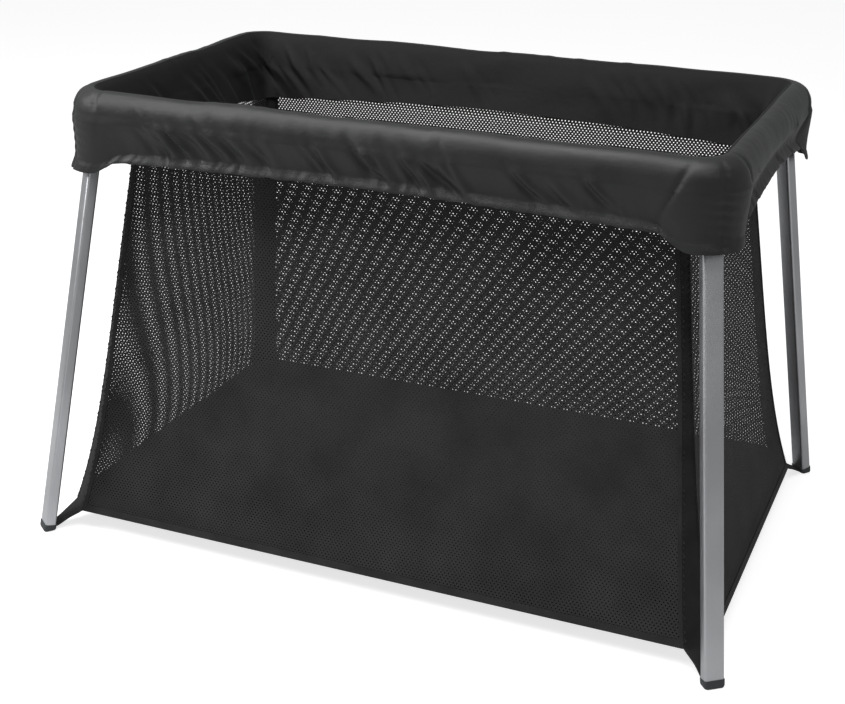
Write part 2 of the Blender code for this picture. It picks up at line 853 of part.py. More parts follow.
def add_corner(corner_name, sign_x, sign_y):
    """A casting with its pin, button and leg, and the tub's strap to the foot."""
    signs = mirror_matrix(sign_x, sign_y)
    place(f"casting_{corner_name}", moved(CASTING, signs), BLACK_PLASTIC)
    place(f"strap_{corner_name}", moved(STRAP, signs), WEBBING)
    half_pin = LEG_WIDTH / 2 + GAP + LEG_EAR + 0.001
    pivot = empty(f"leg_{corner_name}_axis", leg_frame(sign_x, sign_y))
    pin = rod("pin", (-half_pin, 0, 0), (half_pin, 0, 0), LEG_PIN_RADIUS)
    place(f"leg_pin_{corner_name}", pin, STEEL, None, pivot)
    place(f"leg_tube_{corner_name}", LEG_TUBE.copy(), ALUMINIUM, None, pivot)
    place(f"leg_head_{corner_name}", LEG_HEAD_MESH.copy(), BLACK_PLASTIC, None, pivot)
    place(f"foot_{corner_name}", FOOT.copy(), BLACK_PLASTIC, None, pivot)
    out = signs.to_3x3() @ OUTWARD
    spot = signs @ (BEND_POINT + OUTWARD * SLEEVE_RADIUS)
    add_button(f"leg_{corner_name}", spot, out)


def add_fold_hinge(side_name, sign_y):
    """The two brackets, pin and latch button in the middle of one long rail."""
    ear = CLEVIS_TONGUE / 2 + GAP + CLEVIS_EAR / 2
    to_rail = Matrix.Translation((0, sign_y * HALF_WIDTH, 0))
    clevis = moved(bracket((-ear, ear), CLEVIS_EAR, "clevis"), mirror_matrix(1, sign_y))
    tongue = moved(bracket((0,), CLEVIS_TONGUE, "tongue"), mirror_matrix(-1, sign_y))
    place(f"bracket_{side_name}_right", clevis, BLACK_PLASTIC, to_rail)
    place(f"bracket_{side_name}_left", tongue, BLACK_PLASTIC, to_rail)
    half_pin = CLEVIS_TONGUE / 2 + GAP + CLEVIS_EAR + 0.001
    pin = rod("pin", (0, -half_pin, 0), (0, half_pin, 0), FOLD_PIN_RADIUS)
    spot = Matrix.Translation((0, sign_y * HALF_WIDTH, FOLD_PIN_HEIGHT))
    place(f"fold_pin_{side_name}", pin, STEEL, spot)
    out = Vector((0, sign_y, 0))
    middle = BRACKET_GAP + BRACKET_SOLID / 2
    face = Vector((middle, sign_y * (HALF_WIDTH + SLEEVE_RADIUS), FRAME_HEIGHT))
    add_button(f"latch_{side_name}", face, out)


for half_name, sign in SIDES.items():
    add_half(half_name, sign)
for corner_name, (corner_x, corner_y) in CORNERS.items():
    add_corner(corner_name, corner_x, corner_y)
for side_name, sign in LONG_SIDES.items():
    add_fold_hinge(side_name, sign)
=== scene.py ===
"""Travel play yard: the finished look of each piece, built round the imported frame."""

import json
import math

import bmesh
import bpy
import numpy as np
from mathutils import Matrix, Vector


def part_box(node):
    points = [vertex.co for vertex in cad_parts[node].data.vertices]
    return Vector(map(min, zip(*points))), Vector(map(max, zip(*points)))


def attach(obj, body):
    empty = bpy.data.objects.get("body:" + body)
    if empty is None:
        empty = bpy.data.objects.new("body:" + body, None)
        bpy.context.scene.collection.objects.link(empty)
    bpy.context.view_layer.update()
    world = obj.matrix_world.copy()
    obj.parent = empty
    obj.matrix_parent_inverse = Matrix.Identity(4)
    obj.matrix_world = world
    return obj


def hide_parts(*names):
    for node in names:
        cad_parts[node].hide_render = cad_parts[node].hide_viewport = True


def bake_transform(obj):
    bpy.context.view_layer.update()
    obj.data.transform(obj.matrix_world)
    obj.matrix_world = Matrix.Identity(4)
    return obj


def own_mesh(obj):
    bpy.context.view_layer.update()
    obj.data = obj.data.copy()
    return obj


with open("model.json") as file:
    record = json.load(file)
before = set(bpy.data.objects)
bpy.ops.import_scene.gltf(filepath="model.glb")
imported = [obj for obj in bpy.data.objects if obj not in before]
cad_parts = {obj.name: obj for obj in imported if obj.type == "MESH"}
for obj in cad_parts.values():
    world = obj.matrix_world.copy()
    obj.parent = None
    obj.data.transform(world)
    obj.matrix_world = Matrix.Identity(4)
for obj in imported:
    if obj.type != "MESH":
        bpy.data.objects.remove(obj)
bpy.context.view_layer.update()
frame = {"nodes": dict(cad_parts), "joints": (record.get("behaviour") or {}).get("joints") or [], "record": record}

# ---------------------------------------------------------------------------------------------
# Studio. A seamless pale floor under even white light, with one large soft light over the yard
# and a weaker one beside its left end, and a longish lens at a standing adult's waist.
# ---------------------------------------------------------------------------------------------
CAMERA_PLACE = Vector((0.8486, -2.1313, 1.2084))
CAMERA_YAW = math.radians(-22.60)
CAMERA_PITCH = math.radians(-22.19)
CAMERA_ROLL = math.radians(0.66)
CAMERA_LENS = 63.2
ROOM_LIGHT = 0.30


def new_object(name, data):
    made = bpy.data.objects.new(name, data)
    bpy.context.scene.collection.objects.link(made)
    return made


def add_camera():
    ahead = Vector(
        (
            math.sin(CAMERA_YAW) * math.cos(CAMERA_PITCH),
            math.cos(CAMERA_YAW) * math.cos(CAMERA_PITCH),
            math.sin(CAMERA_PITCH),
        )
    )
    level = Vector((math.cos(CAMERA_YAW), -math.sin(CAMERA_YAW), 0))
    up = level.cross(ahead)
    right = math.cos(CAMERA_ROLL) * level + math.sin(CAMERA_ROLL) * up
    up = right.cross(ahead)
    turn = Matrix((right, up, -ahead)).transposed().to_4x4()
    camera = new_object("camera", bpy.data.cameras.new("camera"))
    camera.data.lens = CAMERA_LENS
    camera.matrix_world = Matrix.Translation(CAMERA_PLACE) @ turn
    bpy.context.scene.camera = camera


def add_light(name, place, aim, size, power):
    light = new_object(name, bpy.data.lights.new(name, "AREA"))
    light.data.shape = "RECTANGLE"
    light.data.size, light.data.size_y = size
    light.data.energy = power
    light.location = place
    direction = Vector(aim) - Vector(place)
    light.rotation_euler = direction.to_track_quat("-Z", "Y").to_euler()


def add_studio():
    world = bpy.data.worlds.new("studio")
    bpy.context.scene.world = world
    world.use_nodes = True
    nodes, links = world.node_tree.nodes, world.node_tree.links
    background = nodes["Background"]
    background.inputs["Color"].default_value = (1.0, 1.0, 1.0, 1)
    # the paper behind is lit on its own, brighter than it lights the yard
    seen = nodes.new("ShaderNodeLightPath")
    level = nodes.new("ShaderNodeMapRange")
    level.inputs["To Min"].default_value = ROOM_LIGHT
    level.inputs["To Max"].default_value = 1.0
    links.new(seen.outputs["Is Camera Ray"], level.inputs["Value"])
    links.new(level.outputs["Result"], background.inputs["Strength"])
    add_light("overhead", (-0.2, -0.6, 2.8), (-0.1, -0.2, 0.6), (3.6, 1.2), 66)
    add_light("left_front", (-2.3, -1.4, 2.2), (0, 0, 0.6), (0.7, 0.7), 40)
    bpy.context.scene.view_settings.view_transform = "Standard"
    bpy.ops.mesh.primitive_plane_add(size=14, location=(0, 1.5, -0.0005))
    ground = bpy.context.object
    ground.name = "studio_floor"
    paint = bpy.data.materials.new("studio_paper")
    paint.use_nodes = True
    shader = paint.node_tree.nodes["Principled BSDF"]
    shader.inputs["Base Color"].default_value = (0.60, 0.60, 0.60, 1)
    shader.inputs["Roughness"].default_value = 0.9
    shader.inputs["Specular IOR Level"].default_value = 0.1
    shader.inputs["Emission Color"].default_value = (1.0, 1.0, 1.0, 1)
    # it looks bright from the front, and throws less light back up under the yard
    seen = paint.node_tree.nodes.new("ShaderNodeLightPath")
    glow = paint.node_tree.nodes.new("ShaderNodeMapRange")
    glow.inputs["To Min"].default_value = 0.02
    glow.inputs["To Max"].default_value = 0.74
    paint.node_tree.links.new(seen.outputs["Is Camera Ray"], glow.inputs["Value"])
    paint.node_tree.links.new(glow.outputs["Result"], shader.inputs["Emission Strength"])
    ground.data.materials.append(paint)


add_camera()
add_studio()

# ---------------------------------------------------------------------------------------------
# Rails and pins. Extruded aluminium tube and plain steel, hidden under the cover, seen only from
# below. They keep their own solids and get their metal.
# ---------------------------------------------------------------------------------------------


class Shader:
    """A material under construction: one Principled shader with named nodes added to it."""

    def __init__(self, name, color, roughness, metallic=0.0, specular=0.5):
        self.material = bpy.data.materials.new(name)
        self.material.use_nodes = True
        self.nodes = self.material.node_tree.nodes
        self.links = self.material.node_tree.links
        self.main = self.nodes["Principled BSDF"]
        self.main.inputs["Base Color"].default_value = (*color, 1)
        self.main.inputs["Roughness"].default_value = roughness
        self.main.inputs["Metallic"].default_value = metallic
        self.main.inputs["Specular IOR Level"].default_value = specular
        self.color = color
        self.material.diffuse_color = (*color, 1)

    def add(self, kind, **values):
        """Adds a node. Names are its sockets, with _ for a space, or its own settings."""
        node = self.nodes.new(kind)
        for key, value in values.items():
            socket = node.inputs.get(key.replace("_", " "))
            if socket is None:
                setattr(node, key, value)
            else:
                socket.default_value = value
        return node

    def link(self, source, output, target, socket):
        self.links.new(source.outputs[output], target.inputs[socket])

    def place(self, stretch=(1, 1, 1), uv=None, turn=(0, 0, 0)):
        """Object coordinates, or a UV map's, stretched and turned."""
        if uv:
            source, output = self.add("ShaderNodeUVMap", uv_map=uv), "UV"
        else:
            source, output = self.add("ShaderNodeTexCoord"), "Object"
        mapping = self.add("ShaderNodeMapping", Scale=stretch, Rotation=turn)
        self.link(source, output, mapping, "Vector")
        return mapping

    def noise(self, mapping, scale, detail=3.0, roughness=0.5):
        node = self.add(
            "ShaderNodeTexNoise", Scale=scale, Detail=detail, Roughness=roughness
        )
        self.link(mapping, "Vector", node, "Vector")
        return node

    def ramp(self, source, output, low, high, start=0.0, end=1.0):
        """Maps a value from start..end to low..high."""
        node = self.add("ShaderNodeMapRange", clamp=True)
        for socket, value in (
            ("From Min", start),
            ("From Max", end),
            ("To Min", low),
            ("To Max", high),
        ):
            node.inputs[socket].default_value = value
        self.link(source, output, node, "Value")
        return node

    def vary_color(self, source, output, amount, start=0.3, end=0.7):
        """Lightens and darkens the colour by a share of itself."""
        share = self.ramp(source, output, 1 - amount, 1 + amount, start, end)
        mix = self.add("ShaderNodeVectorMath", operation="SCALE")
        mix.inputs[0].default_value = self.color
        self.link(share, "Result", mix, "Scale")
        self.link(mix, "Vector", self.main, "Base Color")

    def vary_roughness(self, source, output, low, high, start=0.3, end=0.7):
        share = self.ramp(source, output, low, high, start, end)
        self.link(share, "Result", self.main, "Roughness")

    def weave(self, mapping, scale, across, operation, bend, cross_bend):
        """Warp along X and weft along another axis, as two waves put together."""
        mixed = self.add("ShaderNodeMath", operation=operation)
        for i, (way, bent) in enumerate((("X", bend), (across, cross_bend))):
            wave = self.add(
                "ShaderNodeTexWave", Scale=scale, Distortion=bent, bands_direction=way
            )
            self.link(mapping, "Vector", wave, "Vector")
            self.links.new(wave.outputs["Fac"], mixed.inputs[i])
        return mixed

    def bump(self, source, output, depth, before=None):
        """Adds relief of a depth in metres, on top of an earlier bump node if there is one."""
        node = self.add("ShaderNodeBump", Strength=1.0, Distance=depth)
        self.link(source, output, node, "Height")
        if before:
            self.link(before, "Normal", node, "Normal")
        self.link(node, "Normal", self.main, "Normal")
        return node


def metal(name, color, roughness, streak):
    """Drawn metal with fine streaks. Streak stretches the grain along each axis."""
    shade = Shader(name, color, roughness, 1.0)
    grain = shade.noise(shade.place(streak), 1.0, 4)
    cloud = shade.noise(shade.place(), 9, 2)
    shade.vary_color(cloud, "Fac", 0.08)
    shade.vary_roughness(grain, "Fac", roughness - 0.07, roughness + 0.09)
    shade.bump(grain, "Fac", 0.00002)
    return shade.material


def finish_node(name, material):
    """Gives a CAD node its material."""
    node = frame["nodes"][name]
    node.data.materials.clear()
    node.data.materials.append(material)


RAIL_METAL = metal("rail_aluminium", (0.50, 0.50, 0.51), 0.40, (60, 60, 900))
PIN_STEEL = metal("pin_steel", (0.56, 0.56, 0.57), 0.30, (400, 400, 400))
node_names = list(frame["nodes"])
for node_name in node_names:
    if node_name.startswith("rail_"):
        finish_node(node_name, RAIL_METAL)
    elif "pin" in node_name or node_name.endswith("_spring"):
        finish_node(node_name, PIN_STEEL)

# ---------------------------------------------------------------------------------------------
# Corner castings, centre brackets, leg heads and release buttons. Glass-filled nylon mouldings
# with a fine spark-eroded grain. The buttons are a smoother, lighter acetal.
# ---------------------------------------------------------------------------------------------


def moulded(name, color, roughness, grain_depth):
    shade = Shader(name, color, roughness)
    fine = shade.noise(shade.place(), 1400, 2)
    cloud = shade.noise(shade.place(), 30, 3)
    shade.vary_color(cloud, "Fac", 0.15)
    shade.vary_roughness(cloud, "Fac", roughness - 0.06, roughness + 0.08)
    shade.bump(fine, "Fac", grain_depth)
    return shade.material


BLACK_NYLON = moulded("black_nylon", (0.030, 0.032, 0.034), 0.48, 0.00006)
BUTTON_ACETAL = moulded("button_acetal", (0.10, 0.10, 0.11), 0.38, 0.00002)
for node_name in node_names:
    if node_name.endswith("_button"):
        finish_node(node_name, BUTTON_ACETAL)
    elif node_name.startswith(("casting_", "bracket_", "leg_head_")):
        finish_node(node_name, BLACK_NYLON)

# ---------------------------------------------------------------------------------------------
# Return springs. Coils of steel wire, one behind each button, that seat against the casting or
# bracket and are pressed short as the button goes in.
# ---------------------------------------------------------------------------------------------
SAME_POINT = 0.000001


def add_spring(joint, way):
    """A coil copied from the spring and attached to its half's frame. Way points towards its seat."""
    name = joint.replace("_release", "")
    mesh = frame["nodes"][f"{name}_spring"].data.copy()
    coil = new_object(f"{name}_coil", mesh)
    bm = bmesh.new()
    bm.from_mesh(mesh)
    bmesh.ops.remove_doubles(bm, verts=bm.verts[:], dist=SAME_POINT)
    bm.to_mesh(mesh)
    bm.free()
    mesh.shade_smooth()
    inner = max((vert.co for vert in mesh.vertices), key=way.dot)
    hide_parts(f"{name}_spring")
    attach(coil, "left_frame" if "_left" in name else "right_frame")
    inner.copy()
    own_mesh(coil)


for hinge in frame["joints"]:
    if hinge["name"].endswith("_release"):
        add_spring(hinge["name"], Vector(hinge["axis"]).normalized())

# ---------------------------------------------------------------------------------------------
# Legs. Rectangular aluminium extrusion with rounded edges, satin anodised, each with a moulded
# foot cap pushed over its end. The sole is flat on the floor and rolls up at its edge.
# ---------------------------------------------------------------------------------------------
LEG_WIDTH = 0.030
LEG_DEPTH = 0.018
LEG_WALL = 0.0015
LEG_EDGE = 0.0042
EDGE_STEPS = 6
CUT_LIP = 0.0003  # the saw cut's burr is broken this far
LEG_HEAD = 0.0245  # from the pin to the tube's upper end
FOOT_HEIGHT = 0.011
FOOT_PROUD = 0.0012
CORNERS = ("front_left", "front_right", "back_left", "back_right")


def mesh_object(name, points, faces, material, uv=None, smooth=None):
    """A piece from points and faces. UV gives one pair for each point, in metres."""
    mesh = bpy.data.meshes.new(name)
    mesh.from_pydata([tuple(p) for p in points], [], faces)
    if uv is not None:
        layer = mesh.uv_layers.new(name="cloth")
        corner_points = np.empty(len(mesh.loops), int)
        mesh.loops.foreach_get("vertex_index", corner_points)
        layer.data.foreach_set("uv", np.asarray(uv, float)[corner_points].ravel())
    mesh.materials.append(material)
    mesh.shade_smooth()
    if smooth:
        mesh.set_sharp_from_angle(angle=math.radians(smooth))
    return new_object(name, mesh)


def grid_faces(rows, columns, closed_rows=False, closed_columns=False):
    """Quads over a grid of points. Closed joins the last row or column to the first."""
    faces = []
    for i in range(rows if closed_rows else rows - 1):
        for j in range(columns if closed_columns else columns - 1):
            down, across = (i + 1) % rows, (j + 1) % columns
            faces.append(
                (
                    i * columns + j,
                    i * columns + across,
                    down * columns + across,
                    down * columns + j,
                )
            )
    return faces


def rounded_outline(width, depth, edge):
    """A rounded rectangle, anticlockwise."""
    points = []
    for sign_x, sign_y, start in ((1, 1, 0), (-1, 1, 90), (-1, -1, 180), (1, -1, 270)):
        for step in range(EDGE_STEPS + 1):
            angle = math.radians(start + 90 * step / EDGE_STEPS)
            points.append(
                (
                    sign_x * (width / 2 - edge) + edge * math.cos(angle),
                    sign_y * (depth / 2 - edge) + edge * math.sin(angle),
                )
            )
    return points


def leg_place(corner):
    """The leg's own frame: origin on the pin, Z up the leg, X along the hinge, Y outwards."""
    joint = next(
        j
        for j in frame["record"]["behaviour"]["joints"]
        if j["name"] == f"leg_{corner}_fold"
    )
    mount = next(
        m for m in frame["record"]["mounts"] if m["name"] == f"foot_sole_{corner}"
    )
    pin, foot = Vector(joint["pos_m"]), Vector(mount["pos_m"])
    up = (pin - foot).normalized()
    across = Vector(joint["axis"]).normalized()
    side = up.cross(across)
    turn = Matrix((across, side, up)).transposed().to_4x4()
    return Matrix.Translation(pin) @ turn, (pin - foot).length


def add_leg(corner, tube_metal, foot_plastic):
    place, reach = leg_place(corner)
    tilt = place.to_3x3().transposed() @ Vector((0, 0, 1))
    foot_top = FOOT_HEIGHT / tilt.z - reach
    outer = rounded_outline(LEG_WIDTH, LEG_DEPTH, LEG_EDGE)
    inner = rounded_outline(
        LEG_WIDTH - 2 * LEG_WALL, LEG_DEPTH - 2 * LEG_WALL, LEG_EDGE - LEG_WALL
    )
    rings = [
        (outer, foot_top, 0),
        (outer, -LEG_HEAD - CUT_LIP, 0),
        (outer, -LEG_HEAD, CUT_LIP),
        (inner, -LEG_HEAD, 0),
        (inner, foot_top, 0),
    ]
    points = []
    for outline, height, shrink in rings:
        keep = 1 - shrink / LEG_DEPTH
        points += [place @ Vector((x * keep, y * keep, height)) for x, y in outline]
    tube = mesh_object(
        f"leg_{corner}",
        points,
        grid_faces(len(rings), len(outer), closed_rows=True, closed_columns=True),
        tube_metal,
        smooth=40,
    )
    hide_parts(f"leg_tube_{corner}")
    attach(tube, f"leg_{corner}")

    # the foot: rings between a square-cut top and the floor, rolled in at both ends
    shoe = rounded_outline(
        LEG_WIDTH + 2 * FOOT_PROUD, LEG_DEPTH + 2 * FOOT_PROUD, LEG_EDGE + FOOT_PROUD
    )
    floor = place.inverted() @ Vector((0, 0, 0))
    levels = [
        (0.00, 0.90),
        (0.00, 0.965),
        (0.06, 1.0),
        (0.72, 0.985),
        (0.87, 0.95),
        (0.96, 0.89),
        (1.00, 0.80),
    ]
    points = []
    for share, size in levels:
        for x, y in shoe:
            x, y = x * size, y * size
            sole = (tilt.dot(floor) - x * tilt.x - y * tilt.y) / tilt.z
            height = foot_top + (sole - foot_top) * share
            points.append(place @ Vector((x, y, height)))
    count = len(shoe)
    faces = [f[::-1] for f in grid_faces(len(levels), count, closed_columns=True)]
    faces.append(tuple(range(count)))
    faces.append(tuple(range(len(points) - count, len(points)))[::-1])
    foot = mesh_object(f"foot_cap_{corner}", points, faces, foot_plastic, smooth=50)
    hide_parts(f"foot_{corner}")
    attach(foot, f"leg_{corner}")


LEG_METAL = metal("leg_anodised", (0.58, 0.59, 0.61), 0.40, (900, 900, 14))
FOOT_NYLON = moulded("foot_nylon", (0.036, 0.041, 0.044), 0.55, 0.00005)
for corner_name in CORNERS:
    add_leg(corner_name, LEG_METAL, FOOT_NYLON)

# ---------------------------------------------------------------------------------------------
# Net walls. Warp-knitted polyester net with small holes in a diamond lattice, hung from the
# rails and drawn out towards the feet, so that each wall flares near the floor.
# ---------------------------------------------------------------------------------------------
NET_PITCH = 0.0061  # between holes in a row
NET_ROWS = 0.0079  # between rows that line up
NET_HOLE = 0.39  # a hole's share of its cell's size
NET_FLARE = 0.22
NET_FLARE_POWER = 5
WALL_CLOTH = 0.0016
CORNER_CUT_TOP = 0.011
CORNER_CUT_FLOOR = 0.034
HALVES = {"left": -1, "right": 1}
SIDES = {"front": -1, "back": 1}

wall_low, wall_high = (Vector(p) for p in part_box("wall_end_right"))
back_low, back_high = (Vector(p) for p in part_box("wall_back_right"))
TUB_HEM, TUB_TOP = wall_low.z, wall_high.z
TUB_FALL = TUB_TOP - TUB_HEM
NET_TOP = TUB_TOP + 0.038
TOP_X, FLOOR_X = wall_low.x + WALL_CLOTH / 2, wall_high.x - WALL_CLOTH / 2
TOP_Y, FLOOR_Y = back_low.y + WALL_CLOTH / 2, back_high.y - WALL_CLOTH / 2
LEAN_X = (FLOOR_X - TOP_X) / TUB_FALL
LEAN_Y = (FLOOR_Y - TOP_Y) / TUB_FALL
NET_RISE_LEAN = 0.7  # outwards for each unit of height, above the hems and up to the rails
FOLDED_HEIGHT = 0.6765  # where the tub lies when folded: between the legs and the rails


def down_share(height):
    return (TUB_TOP - height) / TUB_FALL


def tub_sizes(height):
    """Half the tub's length and width at a height."""
    share = np.clip(down_share(height), 0, None)
    flare = (1 - NET_FLARE) * share + NET_FLARE * share**NET_FLARE_POWER
    lean = NET_RISE_LEAN * np.clip(height - TUB_TOP, 0, None)
    return (
        TOP_X + (FLOOR_X - TOP_X) * flare + lean,
        TOP_Y + (FLOOR_Y - TOP_Y) * flare + lean,
    )


def corner_cut(height):
    share = np.clip(down_share(height), 0, 1)
    return CORNER_CUT_TOP + (CORNER_CUT_FLOOR - CORNER_CUT_TOP) * share**3


def wall_point(side, across, height, out=0.0):
    """A point on a wall. Side is front, back, left or right, and out moves it off the cloth."""
    half_x, half_y = tub_sizes(height)
    if side in SIDES:
        return across, SIDES[side] * (half_y + out), height
    return HALVES[side] * (half_x + out), across, height


def wall_reach(side, height):
    """How far the net runs from the middle of a wall, at a height."""
    half_x, half_y = tub_sizes(height)
    return (half_x if side in SIDES else half_y) - corner_cut(height)


def net_tree(material):
    """Opens a hole in each face of a mesh, which leaves the yarn round it as a ring of quads."""
    tree = bpy.data.node_groups.new("knitted_net", "GeometryNodeTree")
    interface = tree.interface
    interface.new_socket("Cells", in_out="INPUT", socket_type="NodeSocketGeometry")
    hole = interface.new_socket(
        "Hole Size", in_out="INPUT", socket_type="NodeSocketFloat"
    )
    interface.new_socket("Net", in_out="OUTPUT", socket_type="NodeSocketGeometry")
    nodes, links = tree.nodes, tree.links
    start, end = nodes.new("NodeGroupInput"), nodes.new("NodeGroupOutput")
    inset = nodes.new("GeometryNodeExtrudeMesh")
    inset.mode = "FACES"
    inset.inputs["Offset Scale"].default_value = 0.0
    inset.inputs["Individual"].default_value = True
    shrink = nodes.new("GeometryNodeScaleElements")
    shrink.domain = "FACE"
    cut = nodes.new("GeometryNodeDeleteGeometry")
    cut.domain = "FACE"
    weld = nodes.new("GeometryNodeMergeByDistance")
    weld.inputs["Distance"].default_value = 0.00001
    whole = nodes.new("GeometryNodeRealizeInstances")
    paint = nodes.new("GeometryNodeSetMaterial")
    paint.inputs["Material"].default_value = material
    for source, output, target, socket in (
        (start, "Cells", inset, "Mesh"),
        (inset, "Mesh", shrink, "Geometry"),
        (inset, "Top", shrink, "Selection"),
        (start, "Hole Size", shrink, "Scale"),
        (shrink, "Geometry", cut, "Geometry"),
        (inset, "Top", cut, "Selection"),
        (cut, "Geometry", weld, "Geometry"),
        (weld, "Geometry", whole, "Geometry"),
        (whole, "Geometry", paint, "Geometry"),
        (paint, "Geometry", end, "Net"),
    ):
        links.new(source.outputs[output], target.inputs[socket])
    return tree, hole.identifier


def run_tree(cells, tree, values):
    """Runs a node tree on an object and keeps the result as the object's own plain mesh."""
    step = cells.modifiers.new("nodes", "NODES")
    step.node_group = tree
    for identifier, value in values.items():
        step[identifier] = value
    bpy.context.view_layer.update()
    made = bpy.data.meshes.new_from_object(
        cells.evaluated_get(bpy.context.evaluated_depsgraph_get())
    )
    cells.modifiers.clear()
    old, cells.data = cells.data, made
    bpy.data.meshes.remove(old)
    made.name = cells.name
    return cells


def net_cells(side, half=None):
    """Six-sided cells of the lattice over a wall, or over its left or right half."""
    spread = FLOOR_Y - TOP_Y if side in SIDES else FLOOR_X - TOP_X
    rise = TUB_FALL / math.hypot(TUB_FALL, spread)
    row_step = NET_ROWS / 2 * rise
    flat, steep = (NET_ROWS**2 - NET_PITCH**2), (NET_ROWS**2 + NET_PITCH**2)
    shoulder = flat / (4 * NET_ROWS) * rise
    peak = steep / (4 * NET_ROWS) * rise
    ring = [
        (0, peak),
        (-NET_PITCH / 2, shoulder),
        (-NET_PITCH / 2, -shoulder),
        (0, -peak),
        (NET_PITCH / 2, -shoulder),
        (NET_PITCH / 2, shoulder),
    ]
    rows = int((NET_TOP - TUB_HEM) / row_step) + 1
    columns = int(FLOOR_X / NET_PITCH) + 1
    centres = []
    for row in range(rows):
        height = TUB_HEM + (row + 0.5) * row_step
        reach = wall_reach(side, height) + NET_PITCH * 0.4
        shift = NET_PITCH / 2 if row % 2 else 0.0
        for column in range(-columns, columns + 1):
            across = column * NET_PITCH + shift
            kept = half is None or (across > 0) == (half == "right")
            if abs(across) < reach and kept and height < NET_TOP:
                centres.append((across, height))
    centres = np.array(centres)
    corners = centres[:, None, :] + np.array(ring)[None, :, :]
    flat_points = corners.reshape(-1, 2)
    keys = np.round(flat_points / 1e-6).astype(np.int64)
    keys = (keys + 50) // 100
    _, first, index = np.unique(keys, axis=0, return_index=True, return_inverse=True)
    index = index.ravel().reshape(-1, 6)
    used = flat_points[first]
    x, y, z = wall_point(side, used[:, 0], used[:, 1])
    points = np.stack(np.broadcast_arrays(x, y, z), axis=1)
    if (side in ("front", "right")) == (side in SIDES):
        index = index[:, ::-1]
    return points, index, used


def net_yarn():
    shade = Shader("net_yarn", (0.032, 0.032, 0.0325), 0.75, specular=0.14)
    fine = shade.noise(shade.place(), 900, 2)
    cloud = shade.noise(shade.place(), 12, 3)
    shade.vary_color(cloud, "Fac", 0.22)
    shade.vary_roughness(fine, "Fac", 0.5, 0.75)
    shade.bump(fine, "Fac", 0.00015)
    return shade.material


def gather(piece, half, out, anchor):
    """Attaches a tub piece to its half's frame. Out, its X and Y slopes, is not used."""
    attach(piece, f"{half}_frame")
    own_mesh(piece)


def wall_fold(side):
    """How a wall leans in as the yard folds, and the point that it is drawn to."""
    if side in SIDES:
        return (0, SIDES[side] * LEAN_Y), (0, SIDES[side] * TOP_Y, FOLDED_HEIGHT)
    return (HALVES[side] * LEAN_X, 0), (HALVES[side] * TOP_X, 0, FOLDED_HEIGHT)


NET_YARN = net_yarn()
NET_TREE, HOLE_SOCKET = net_tree(NET_YARN)


def add_net(side, half=None):
    """The net of a long wall's left or right half, or of a whole end wall."""
    name = f"net_{side}_{half}" if half else f"net_end_{side}"
    points, index, used = net_cells(side, half)
    cells = mesh_object(name, points, index.tolist(), NET_YARN, uv=used)
    run_tree(cells, NET_TREE, {HOLE_SOCKET: NET_HOLE})
    solid = f"wall_{side}_{half}" if half else f"wall_end_{side}"
    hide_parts(solid)
    gather(cells, half or side, *wall_fold(side))


for side_name in SIDES:
    for half_name in HALVES:
        add_net(side_name, half_name)
for half_name in HALVES:
    add_net(half_name)

# ---------------------------------------------------------------------------------------------
# Bindings. Black polyester tape sewn over the net's edges: down both sides of each corner and
# along the hem. Between them a wide tape runs down the cut corner and on to the foot.
# ---------------------------------------------------------------------------------------------
TAPE_WIDTH = 0.005
HEM_TAPE = 0.010
TAPE_CLOTH = 0.0011
STRAP_CLOTH = 0.0016
TAPE_STEPS = 40
STRAP_STEPS = 8  # from the tub to the foot
STRAP_FOLDED_LIFT = 0.010  # it hangs lower than the tub, so it is drawn up further


def tape_cloth():
    shade = Shader("binding_tape", (0.025, 0.024, 0.025), 0.78, specular=0.2)
    shade.main.inputs["Sheen Weight"].default_value = 0.04
    ribs = shade.add("ShaderNodeTexWave", Scale=1.0, Distortion=1.5, Detail=2.0)
    shade.link(shade.place((260, 260, 1), uv="cloth"), "Vector", ribs, "Vector")
    cloud = shade.noise(shade.place(), 25, 3)
    shade.vary_color(cloud, "Fac", 0.25)
    shade.bump(ribs, "Fac", 0.00012)
    return shade.material


TAPE = tape_cloth()


def thicken(piece, thickness, offset):
    """Gives a piece its cloth's thickness: about its middle, or inwards where offset is -1."""
    wall = piece.modifiers.new("thickness", "SOLIDIFY")
    wall.thickness = thickness
    wall.offset = offset
    bpy.context.view_layer.update()
    made = bpy.data.meshes.new_from_object(
        piece.evaluated_get(bpy.context.evaluated_depsgraph_get())
    )
    piece.modifiers.clear()
    piece.data = made
    made.name = piece.name
    made.shade_smooth()
    made.set_sharp_from_angle(angle=math.radians(50))
    return piece


def ribbon(name, rows, material, thickness):
    """A strip of cloth through rows of points, given a thickness about its middle."""
    columns = len(rows[0])
    points = [p for row in rows for p in row]
    uv = []
    run = 0.0
    for i, row in enumerate(rows):
        if i:
            run += (Vector(row[0]) - Vector(rows[i - 1][0])).length
        wide = 0.0
        for j, p in enumerate(row):
            if j:
                wide += (Vector(p) - Vector(row[j - 1])).length
            uv.append((wide, run))
    strip = mesh_object(name, points, grid_faces(len(rows), columns), material, uv=uv)
    return thicken(strip, thickness, 0.0)


def heights(low, high, count):
    return [low + (high - low) * i / (count - 1) for i in range(count)]


